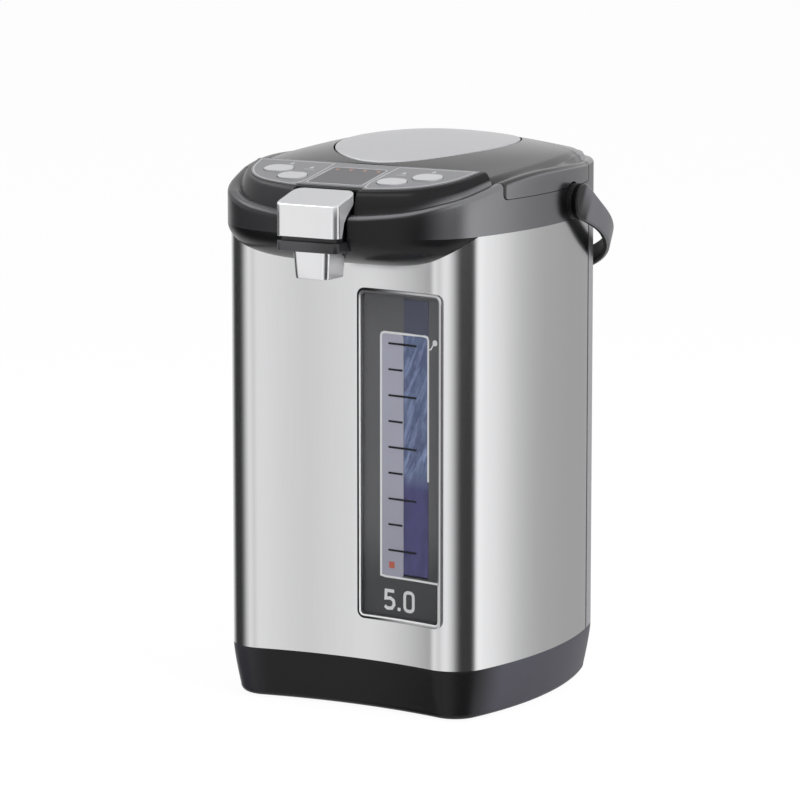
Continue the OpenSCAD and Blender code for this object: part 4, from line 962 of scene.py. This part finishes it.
class POT_OT_chin(bpy.types.Operator):
    """Bowl under the collar that runs back to the steel"""
    bl_idname = "pot.chin"
    bl_label = "Chin"

    def execute(self, context):
        f, m, c = form(), library(), centres()
        (px, py), (qx, qy) = c.column, c.corner
        wide = px + f.column_r - 2.5
        u = np.sin(np.linspace(0, math.pi / 2, 70))
        x = wide * u
        col = x > px - f.column_r * math.sin(math.radians(c.recess_a))

        def back(d):
            """The steel's front pushed out by d: hollow in the middle, round at the columns."""
            hollow = c.recess_y - c.recess_r + np.sqrt((c.recess_r - d) ** 2 - x ** 2)
            round_ = py - np.sqrt(np.maximum((f.column_r + d) ** 2 - (x - px) ** 2, 0))
            return np.where(col, round_, hollow)

        corner_x = qx + f.visor_corner_r * math.cos(math.radians(c.visor_a))
        corner = qy - np.sqrt(np.maximum(f.visor_corner_r ** 2 - (x - qx) ** 2, 0))
        bow = np.where(x < corner_x, c.visor[1] - np.sqrt(f.visor_r ** 2 - x ** 2), corner)
        rows = []
        for t in [1, 0.985, 0.96, 0.92, 0.86, 0.78, 0.68, 0.56, 0.42, 0.28, 0.14, 0.04, 0]:
            share = (1 - t ** 1.7) ** 0.7
            z = f.steel_top - t * 20.5 * (1 - u ** 4) - 0.4 * t
            y = back(1.2) + (bow - back(1.2)) * share
            front = np.column_stack([x, y, z])
            rear = np.column_stack([x, back(0.05), z])[::-1]
            half = np.concatenate([front, rear])
            rows.append(np.concatenate([half, half[-2:0:-1] * [-1, 1, 1]]))
        ob = loft("chin_skin", rows)
        cut(ob, nose_box("gap", 0.0, NOSE_LOW))
        cut(ob, turned("slot", "x", box(-140, -102.2, 270, 330), -13.3, 13.3))
        dress(ob, "pot", m["charcoal_gloss"], ["chin_cover"])
        return {"FINISHED"}


class POT_OT_lid(bpy.types.Operator):
    """Crowned lid with skirts, hinge tongue and the press plate's oval hole"""
    bl_idname = "pot.lid"
    bl_label = "Lid"

    def execute(self, context):
        f, m = form(), library()
        low = f.steel_top + SKIRT_RISE + 0.4
        ob = loft("lid_skin", top_rings(low, True))
        cut(ob, lid_bed("plan", GAP / 2, 6, 0.9, 300), "INTERSECT")
        y, z = HINGE_Y, HINGE_Z
        side = [(-200, 267), (y, 267), (y + 6, z - 2), (y + 6, z + 1), (y + 4, z + 4.6),
                (y - 1, z + 7.2), (y - 12, z + 14), (-200, 398)]
        cut(ob, turned("side", "x", side, -ASIDE, ASIDE), "INTERSECT")
        cut(ob, turned("barrel", "x", disc(y, z, BARREL), -TONGUE + 0.3, TONGUE - 0.3), "UNION")
        room = loft("room", room_rings(low - LID_WALL, True)[::-1])
        t = LID_WALL
        plan = tongue_plan(TONGUE - t, LID_FRONT + t, y - BARREL - t, LID_REAR - t)
        cut(room, prism("plan", plan, 300, OVER), "INTERSECT")
        cut(ob, room)
        for w, z0, z1 in ((13.4, low + 0.8, low + 4.8), (5.4, low - 2.4, low + 3.6)):
            cut(ob, turned("slot", "x", box(LID_FRONT - 1, LID_FRONT + 6, z0, z1), -w, w))
        a = np.linspace(0, 2 * math.pi, 160, endpoint=False)
        oval = np.column_stack([(PLATE_A + 1.1) * np.cos(a), PLATE_Y + (PLATE_B + 1.3) * np.sin(a)])
        cut(ob, prism("oval", oval, f.steel_top + SKIRT_RISE, OVER))
        for s in (-1, 1):
            p, q = sorted((s * 85, s * 120))
            cut(ob, turned("notch", "x", disc(*PIVOT, NOTCH_R), p, q))

        def share(x, y, z):
            """Painted light: the skirts' light tone under the rim, but not on the front wall, and
            the crown's lighter tone.
            """
            h = z - rim_at(x, y)
            skirt = (y > LID_FRONT + 3.2) | (np.abs(x) > 96)
            return np.maximum(skirt * (1 - ease(h, -2.8, -1.2)), 0.5 * ease(h, 4, 13))

        sheen(ob, share)
        dress(ob, "lid", m["lid_gloss"], ["lid"])
        return {"FINISHED"}


class POT_OT_plate(bpy.types.Operator):
    """Oval press plate that follows the lid's crown"""
    bl_idname = "pot.plate"
    bl_label = "Press plate"

    def execute(self, context):
        m = library()
        a = -math.pi / 2 + np.linspace(0, 2 * math.pi, 160, endpoint=False)
        rows = []
        edge = [(0.2, 4.2), (0.7, 4.2), (0.985, 4.2), (1, 3.4), (1, 0.3), (0.9985, 0.05),
                (0.994, -0.2), (0.985, -0.38), (0.96, -0.46)]
        for k, d in edge + [(k, -0.5) for k in (0.9, 0.8, 0.65, 0.5, 0.35, 0.2, 0.08)]:
            x, y = PLATE_A * k * np.cos(a), PLATE_Y + PLATE_B * k * np.sin(a)
            rows.append(np.column_stack([x, y, crown_at(x, y) - d]))
        ob = loft("press_plate_skin", rows)
        dress(ob, "press_plate", m["plate_satin"], ["pump_plate"])
        return {"FINISHED"}


def cap_top(y):
    """Height of the cap's top face: a straight rise from its front edge to the deck."""
    rear = deck_at(0, CAP_REAR)
    return CAP_FRONT_Z + (rear - CAP_FRONT_Z) * (y - NOSE_Y) / (CAP_REAR - NOSE_Y)


class POT_OT_springs(bpy.types.Operator):
    """Bellows and springs under the press plate and the cap, each a copy of its mesh with a finish
    """
    bl_idname = "pot.springs"
    bl_label = "Bellows and springs"

    def execute(self, context):
        m = library()
        springs = (
            ("bellows", "lid", "plate_press", PLATE_TRAVEL, "milky_silicone", "silicone"),
            ("plate_spring", "lid", "plate_press", PLATE_TRAVEL, "spring_wire", "spring_steel"),
            ("cap_spring", "pot", "cap_press", CAP_TRAVEL, "spring_wire", "spring_steel"))
        for node, body, joint, travel, mat, slot in springs:
            ob = bpy.data.objects.new(node + "_soft", NODES[node].data.copy())
            context.scene.collection.objects.link(ob)
            dress(ob, body, m[mat], [node])
            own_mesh(ob)
        return {"FINISHED"}


class POT_OT_nose(bpy.types.Operator):
    """Nose band, outlet and the dispensing cap over them"""
    bl_idname = "pot.nose"
    bl_label = "Nose, outlet and cap"

    def execute(self, context):
        m = library()
        py = CAP_REAR - 3
        pz = cap_top(py) - 4

        def at(s, z):
            return level(round_box(CAP_W, NOSE_Y, CAP_REAR, CORNER_FRONT, CORNER_REAR, s, 12), z)

        rows = [at(0.35, CAP_LOW), at(0, CAP_LOW + 0.35), at(0, CAP_LOW + 8),
                at(0, lambda x, y: cap_top(y) - 8)]
        for t in np.linspace(0, math.pi / 2, 6):
            rows.append(at(CAP_EDGE * (1 - math.cos(t)),
                           lambda x, y, t=t: cap_top(y) - CAP_EDGE * (1 - math.sin(t))))
        rows += [at(s, lambda x, y: cap_top(y)) for s in (3, 6, 9, 12)]
        ob = stack("cap_skin", rows)
        side = [(-140, 300), (-123, 300), (-123, CAP_LOW), (-120.4, 315.5), (-117, 320),
                (py - 2.6, pz - 3),
                (CAP_REAR, pz - 2.4), (-95, pz - 2.4), (-95, 350), (-140, 350)]
        cut(ob, turned("side", "x", side, -30, 30), "INTERSECT")
        room = [(-128, 300), (-102, 300), (-102, cap_top(-102) - 2), (-128, cap_top(-128) - 2)]
        cut(ob, turned("room", "x", room, 2 - CAP_W / 2, CAP_W / 2 - 2))

        def share(x, y, z):
            """Painted light and shade: the darker, less metallic tone of the cap's top and, behind
            its front corners, of its sides.
            """
            sides = 0.8 * ease(np.abs(x), CAP_W / 2 - 0.5, CAP_W / 2 - 0.05) * (y > NOSE_Y + 4)
            return np.maximum(ease(z - cap_top(y), -0.7, -0.05), sides)

        sheen(ob, share)
        dress(ob, "cap", m["cap_silver"], ["dispense_cap"])

        edge = [(0.5, 0), (0.12, 0.15), (0, 0.5)]
        rows = [at(s, NOSE_LOW + h) for s, h in edge] + [at(s, NOSE_TOP - h) for s, h in edge[::-1]]
        ob = stack("nose_skin", rows)
        w = CAP_W - 5.2
        core = [(-125.2, NOSE_TOP - 1), (CAP_REAR - 1, NOSE_TOP - 1), (CAP_REAR - 1, pz + 1.5),
                (py - 6, pz - 2), (-124.6, 320)]
        cut(ob, turned("core", "x", core, -w / 2, w / 2), "UNION")
        dress(ob, "pot", m["nose_black"], ["nose_housing"])

        rows = []
        for e, z in [(1.0, SPOUT_LOW), (0.3, SPOUT_LOW + 0.3), (0.0, SPOUT_LOW + 1.0), (0, 288),
                     (0, 293), (0, NOSE_LOW)]:
            t = (NOSE_LOW - z) / (NOSE_LOW - SPOUT_LOW)
            y0, y1 = SPOUT_Y + 0.9 * t, SPOUT_Y + SPOUT_D - 1.4 * t
            rows.append(level(round_box(SPOUT_W - 2 * t, y0, y1, 4.2, 1.2, e, 12), z))
        ob = stack("outlet_skin", rows)
        cut(ob, prism("bore", disc(0, SPOUT_Y + SPOUT_D / 2, 6, 48), 270, 294))
        half = SPOUT_W / 2
        # Painted shade: behind its front, the outlet's sides take the cap's darker tone.
        sheen(ob, lambda x, y, z: (0.9 * (y > SPOUT_Y + 3.5)
                                   * ease(np.abs(x), half - 2.6, half - 1.5)))
        dress(ob, "pot", m["cap_silver"], ["spout"])
        return {"FINISHED"}


def handle_half(y):
    """Half the width of the handle's band at y from its pivot: a straight taper, widened to the
    boss, whose end is round."""
    w = 8 - 1.5 * np.clip(y / REACH, 0, 1)
    return np.where(y < 0, np.sqrt(np.maximum(BOSS_R ** 2 - y ** 2, 0.01)),
                    w + (BOSS_R - w) * np.maximum(1 - y / 40, 0) ** 2)


def handle_layer(name, low, high, edge_low, edge_high):
    """One layer of the carrying band between two offsets from its inner face, with rounded edges.
    Seen from above the band runs back, round a quarter circle and across; its middle sinks with the
    square of the distance from the pivot, and the whole is tilted by the droop."""
    inner = CORNER_R - BAND_T
    y_straight = REACH - CORNER_R
    t = np.linspace(0, math.pi / 2, 14)
    back = np.concatenate([-BOSS_R * np.cos(t)[:-1] * 0.999, np.linspace(0, y_straight, 20)])
    run = [np.column_stack([np.full(len(back), ARM_X), back])]
    nrm = [np.tile([1.0, 0.0], (len(back), 1))]
    a = np.radians(np.linspace(0, 90, 90))[1:]
    nrm.append(np.column_stack([np.cos(a), np.sin(a)]))
    run.append([ARM_X - inner, y_straight] + inner * nrm[-1])
    x = np.linspace(ARM_X - inner, 0, 14)[1:]
    run.append(np.column_stack([x, np.full(len(x), y_straight + inner)]))
    nrm.append(np.tile([0.0, 1.0], (len(x), 1)))
    run, nrm = np.concatenate(run), np.concatenate(nrm)
    run = np.concatenate([run, run[-2::-1] * [-1, 1]])
    nrm = np.concatenate([nrm, nrm[-2::-1] * [-1, 1]])
    sec = []
    for face, edge, up, n in ((high, edge_high, 1, 6), (low, edge_low, -1, 4)):
        for side, lo, hi in ((-up, 0, 90), (up, 90, 0)):
            q = np.radians(np.linspace(lo, hi, n))
            sec.append(np.column_stack([face - up * edge + up * edge * np.sin(q),
                                        np.full(n, side), edge * (1 - np.cos(q))]))
    sec = np.concatenate(sec)
    pts = run[:, None, :] + nrm[:, None, :] * sec[None, :, :1]
    y = pts[..., 1]
    half = handle_half(y)
    to_edge = np.maximum(half - np.minimum(sec[None, :, 2], half * 0.5), 0.1)
    z = -SAG * (y / REACH) ** 2 + sec[None, :, 1] * to_edge
    c, s = math.cos(math.radians(DROOP)), math.sin(math.radians(DROOP))
    world = np.stack([pts[..., 0], PIVOT[0] + y * c + z * s, PIVOT[1] - y * s + z * c], -1)
    return stack(name, world, 36)


class POT_OT_handle(bpy.types.Operator):
    """Carrying handle: a grey outer band over a black inner one"""
    bl_idname = "pot.handle"
    bl_label = "Handle"

    def execute(self, context):
        m = library()
        for name, lo, hi, e0, e1, mat in (("handle_band", 2.3, 4.0, 0.05, 1.4, "handle_grey"),
                                          ("handle_liner", 0.0, 2.3, 0.5, 0.05, "liner_black")):
            ob = handle_layer(name, lo, hi, e0, e1)
            sheen(ob, lambda x, y, z: ease(y, PIVOT[0] - 1, PIVOT[0] + 4))
            dress(ob, "handle", m[mat], ["carry_handle"])
        return {"FINISHED"}


class POT_OT_gauge(bpy.types.Operator):
    """Level gauge: bezel, printed scale, water column and marks"""
    bl_idname = "pot.gauge"
    bl_label = "Level gauge"

    def execute(self, context):
        m = library()
        x0, x1, z0, z1 = WINDOW

        def loop(e):
            return loop_of(x0 + e, x1 - e, z0 + e, z1 - e, max(WINDOW_R - e, 0.6))

        def ring_piece(name, section, mat):
            rows = [on_hollow(loop(e), d) for e, d in section]
            return dress(outward(sleeve(name, rows, 32)), "pot", mat, ["gauge_bezel"])

        rim = [(0, -0.15), (0, -0.5), (0.25, -0.8), (0.6, -0.9), (1.6, -0.88), (1.6, -0.15)]
        line = [(1.6, -0.15), (1.6, -0.86), (1.9, -0.84), (2.4, -0.7), (2.6, -0.5), (2.6, -0.15)]
        wall = [(1.9, 3.3), (1.9, -0.1), (2.6, -0.45), (2.85, -0.3), (2.98, -0.05), (2.98, 3.3)]
        ring_piece("bezel_rim", rim, m["bezel_black"])
        # The white line is a painted highlight of the bezel's inner chamfer; along the top and up
        # the right side it turns to the window's dark tone, painted shade.
        trim = ring_piece("bezel_line", line, m["bezel_trim"])
        sheen(trim, lambda x, y, z: np.maximum(ease(z, z1 - 7, z1 - 2.5),
                                               ease(x, x1 - 5, x1 - 3) * ease(z, 87, 92)))
        ring_piece("bezel_wall", wall, m["window_dark"])
        front, back = SCALE_Y - 0.14, SCALE_Y - 0.02

        def block(xa, xb, za, zb, r):
            return loop_of(xa, xb, za, zb, r, 3.0)

        def prints(name, outlines, mat, high=front, low=back):
            dress(plates(name, outlines, on_hollow, low, high), "pot", mat, ())

        prints("scale_field", [block(23.9, 40.7, 88.6, 243.0, 2.4)], m["mist_print"],
               SCALE_Y - 0.08)
        column = plates("water_column", [block(40.95, 60.25, 91.0, 265.4, 0.5)], on_hollow,
                        SCALE_Y + 0.9, SCALE_Y - 0.05)
        dress(column, "pot", m["water_blue"], ())
        prints("upper_tint", [block(40.95, 60.25, 244.2, 265.4, 0.4)], m["smoke_print"],
               front - 0.1, front)

        top = [(23.4, 88.2), (23.4, 241.0), (24.0, 242.7), (25.7, 243.4), (57.8, 243.4),
               (59.5, 242.8), (60.2, 241.2), (60.2, 152)]
        path = []
        for a, b in zip(top[:-1], top[1:]):
            n = max(1, int(math.dist(a, b) / 4))
            path += [(a[0] + (b[0] - a[0]) * k / n, a[1] + (b[1] - a[1]) * k / n) for k in range(n)]
        path.append(top[-1])
        low = [(x, 88.2 if x > 25 else 88.2 + (25 - x) * 0.4) for x in np.linspace(23.4, 69.2, 14)]
        arm = [(60.4, 235.2), (62.4, 235.8), (64.2, 238.8)]
        white = [strip_of(path, 1.45), strip_of(low, 1.35), disc(65.6, 240.0, 1.9, 24),
                 strip_of(arm, 0.9)]
        prints("frame_lines", white, m["line_white"])

        over = (front - 0.12, front - 0.01)
        marks = [block(29.0, 40.0 if k % 2 else 51.0, 236.0 - 16.4 * k, 237.3 - 16.4 * k, 0.3)
                 for k in range(9)]
        prints("level_marks", marks, m["ink_black"], *over)
        prints("low_mark", [block(29.6, 33.8, 93.9, 98.1, 0.5)], m["mark_orange"], *over)
        five = [(33.4, 79.2), (27.2, 79.2), (26.9, 74.2), (30.6, 74.6), (32.9, 73.2),
                (33.3, 70.6), (31.6, 68.2), (28.2, 67.9), (26.2, 69.2)]
        zero = loop_of(41.6, 48.4, 67.8, 79.6, 2.6, 2.0)
        zero = np.concatenate([zero, zero[:1]])
        number = [strip_of(line, 2.1) for line in (five, zero[:-1], zero[-2:])]
        prints("capacity", number + [block(36.1, 38.3, 67.0, 69.2, 0.4)], m["print_grey"])
        return {"FINISHED"}


class POT_OT_panel(bpy.types.Operator):
    """Printed outlines, display and small signs of the control panel"""
    bl_idname = "pot.panel"
    bl_label = "Control panel print"

    def execute(self, context):
        f, m = form(), library()
        margin = 4.2
        rear = LID_FRONT - margin
        half = same_half("collar", f.terrace + 3.4)
        half = half[(half[:, 1] < rear) & (half[:, 0] > CAP_W / 2 + margin)][::3]
        rim = [*half.tolist(), (half[-1][0] + 0.4, rear)]
        lobe = [(23.6, rear), (22.9, -66), (22.4, -90), (24.2, -98.5), (26.0, half[0][1] + 0.8),
                *rim, (23.6, rear)]
        lines = [strip_of(np.array(lobe) * [side, 1], 0.75) for side in (-1, 1)]
        show = loop_of(-19.6, 19.6, -96.0, -62.0, 2.4, 6.0)
        show[:, 0] *= 1 - (show[:, 1] + 62.0) * 0.001
        lines += [strip_of(show, 0.7), strip_of([show[-1], show[0]], 0.7)]
        ob = plates("panel_lines", lines, on_deck, 0.0, 0.09)
        dress(ob, "pot", m["line_grey"], ())
        ob = plates("panel_display", [loop_of(-18.8, 18.8, -95.2, -62.8, 2.0, 6.0)], on_deck, 0.0,
                    0.06)
        for x in (-15, -5, 5, 15):
            cut(ob, prism("light", disc(x, -66, 1.6, 24), 330, 350))
        dress(ob, "pot", m["display_dark"], ())
        drop = 0.9 * np.array([(0, 3.2), (0.9, 1.4), (1.6, 0), (1.3, -1.1), (0, -1.7),
                               (-1.3, -1.1), (-1.6, 0), (-0.9, 1.4)])
        signs = []
        for x, y in ((-33.5, -66.5), (-51.5, -60.5), (33.5, -66.5), (51.5, -60.5)):
            signs += [drop + [x, y], strip_of([(x - 3.4, y - 3.6), (x + 3.4, y - 3.6)], 0.6)]
        ob = plates("panel_signs", signs, on_deck, 0.0, 0.08)
        dress(ob, "pot", m["line_grey"], ())
        return {"FINISHED"}


def glow_wall(net, colour, strength, around, radius, heights, closed):
    """A glowing wall that only reflections show: radius times (cos, sin) of the angles around,
    between two heights."""
    net.show("ShaderNodeEmission", Color=colour, Strength=strength)
    flat = radius * np.column_stack([np.cos(around), np.sin(around)])
    faces = grid_faces(2, len(around), wrap_cols=closed)[:, ::-1]
    ob = new_object(net.mat.name, np.concatenate([level(flat, h) for h in heights]), faces)
    ob.data.materials.append(net.mat)
    ob.visible_camera = ob.visible_diffuse = ob.visible_shadow = ob.visible_transmission = False
    return ob


class POT_OT_stage(bpy.types.Operator):
    """Floor, backdrop, reflector cards, lamps and camera"""
    bl_idname = "pot.stage"
    bl_label = "Studio"

    def execute(self, context):
        s = context.scene.pot_studio
        sc = context.scene
        sc.view_settings.view_transform = "Standard"
        az, el = math.radians(s.azimuth), math.radians(s.elevation)
        back = Vector((math.sin(az) * math.cos(el), -math.cos(az) * math.cos(el), math.sin(el)))
        right = Vector((math.cos(az), math.sin(az), 0))
        cam = bpy.data.objects.new("camera", bpy.data.cameras.new("camera"))
        sc.collection.objects.link(cam)
        cam.location = right * -0.005578 + Vector((0, -0.0026, 0.18759)) + back * s.distance
        cam.rotation_mode = "QUATERNION"
        cam.rotation_quaternion = (-back).to_track_quat("-Z", "Y")
        cam.data.lens, cam.data.sensor_width = s.lens, 36.0
        cam.data.clip_start, cam.data.clip_end = 0.05, 60
        sc.camera = cam

        n = Net("studio", bpy.data.worlds.new("studio"))
        sc.world = n.mat
        lift = n.node("ShaderNodeMapRange", None, i0=n.seen(), i3=s.world, i4=1.0)
        n.show("ShaderNodeBackground", Strength=lift.outputs[0])

        n = Net("floor_white")
        matte = n.node("ShaderNodeBsdfDiffuse", None, Color=(0.8, 0.8, 0.8))
        glow = n.node("ShaderNodeEmission", None, Color=(1, 1, 1), Strength=1.05)
        n.show("ShaderNodeMixShader", i0=n.seen() * s.floor_glow,
               i1=matte.outputs[0], i2=glow.outputs[0])
        far, low = 8000.0, -0.05
        floor = new_object("floor", level(np.array(box(-far, far, -far, far)), low), [(0, 1, 2, 3)])
        floor.data.materials.append(n.mat)
        floor.visible_glossy = False

        n = Net("soft_boards")
        (x, y, _), _ = n.place()
        turn = n.math("ARCTAN2", y, x) * (1 / (2 * math.pi)) + 0.5
        stops = [((a + 180) / 360, (v, v, v)) for a, v in BOARDS]
        ramp = n.node("ShaderNodeValToRGB", {"stops": stops}, Fac=turn)
        around = np.linspace(0, 2 * math.pi, 240, endpoint=False)
        boards = glow_wall(n, ramp.outputs[0], 1.0, around, 6000, (-9000, 250), True)

        around = np.radians(np.linspace(-205, -70, 100))
        strip = glow_wall(Net("strip_light"), (1, 1, 1), 3.6, around, 3000, (2700, 3800), False)

        def lamp(name, place, aim, size, power):
            d = bpy.data.lights.new(name, "AREA")
            d.shape, d.energy, d.color = "RECTANGLE", power, (1, 1, 1)
            d.size, d.size_y = size
            ob = bpy.data.objects.new(name, d)
            sc.collection.objects.link(ob)
            ob.location = place
            ob.rotation_mode = "QUATERNION"
            ob.rotation_quaternion = (Vector(aim) - Vector(place)).to_track_quat("-Z", "Y")
            ob.visible_glossy = False

        for row in LAMPS:
            lamp(*row)
        return {"FINISHED"}


# Brightness of the boards round the pot by their direction in degrees from +X
BOARDS = [(-180, 0.04), (-160, 0.04), (-152, 0.13), (-144, 0.38), (-136, 0.66), (-126, 0.90),
          (-118, 0.82), (-110, 0.72),
          (-97, 0.92), (-86, 0.94), (-76, 0.78), (-68, 0.58), (-60, 0.32), (-52, 0.13),
          (-45, 0.045),
          (-16, 0.035), (-8, 0.07), (-2, 0.30), (4, 0.85), (12, 1.08), (30, 1.05), (38, 0.88),
          (46, 0.60),
          (56, 0.47), (70, 0.42), (92, 0.40), (118, 0.62), (134, 0.85), (150, 0.70), (162, 0.22),
          (172, 0.05), (180, 0.04)]
# Name, place, aim, size and power of each lamp, in metres and watts
LAMPS = [("key", (1.9, -0.5, 1.3), (0, 0, 0.2), (1.0, 1.0), 26.0),
         ("front", (-0.9, -2.0, 1.4), (0, 0, 0.2), (1.2, 1.2), 10.0),
         ("top", (0.2, 0.2, 2.0), (0, 0, 0.3), (1.4, 1.4), 8.0)]

STEPS = ("inner", "shell", "base", "collar", "chin", "lid", "plate", "springs", "nose", "handle",
         "gauge", "panel", "stage")


class POT_PT_panel(bpy.types.Panel):
    """Lists the pot's pieces and its studio"""
    bl_idname = "POT_PT_panel"
    bl_label = "Thermo Pot"
    bl_space_type = "VIEW_3D"
    bl_region_type = "UI"
    bl_category = "Thermo Pot"

    def draw(self, context):
        for step in STEPS:
            self.layout.operator("pot." + step)
        for group in (context.scene.pot_form, context.scene.pot_finish, context.scene.pot_studio):
            for key in group.__annotations__:
                self.layout.prop(group, key)


CLASSES = (PotForm, PotFinish, Studio, POT_OT_inner, POT_OT_shell, POT_OT_base, POT_OT_collar,
           POT_OT_chin,
           POT_OT_lid, POT_OT_plate, POT_OT_springs, POT_OT_nose, POT_OT_handle, POT_OT_gauge,
           POT_OT_panel, POT_OT_stage, POT_PT_panel)


def register():
    for c in CLASSES:
        bpy.utils.register_class(c)
    bpy.types.Scene.pot_form = bpy.props.PointerProperty(type=PotForm)
    bpy.types.Scene.pot_finish = bpy.props.PointerProperty(type=PotFinish)
    bpy.types.Scene.pot_studio = bpy.props.PointerProperty(type=Studio)


def unregister():
    del bpy.types.Scene.pot_studio, bpy.types.Scene.pot_finish, bpy.types.Scene.pot_form
    for c in reversed(CLASSES):
        bpy.utils.unregister_class(c)


def main():
    register()
    for step in STEPS:
        getattr(bpy.ops.pot, step)()


if __name__ == "__main__":
    main()
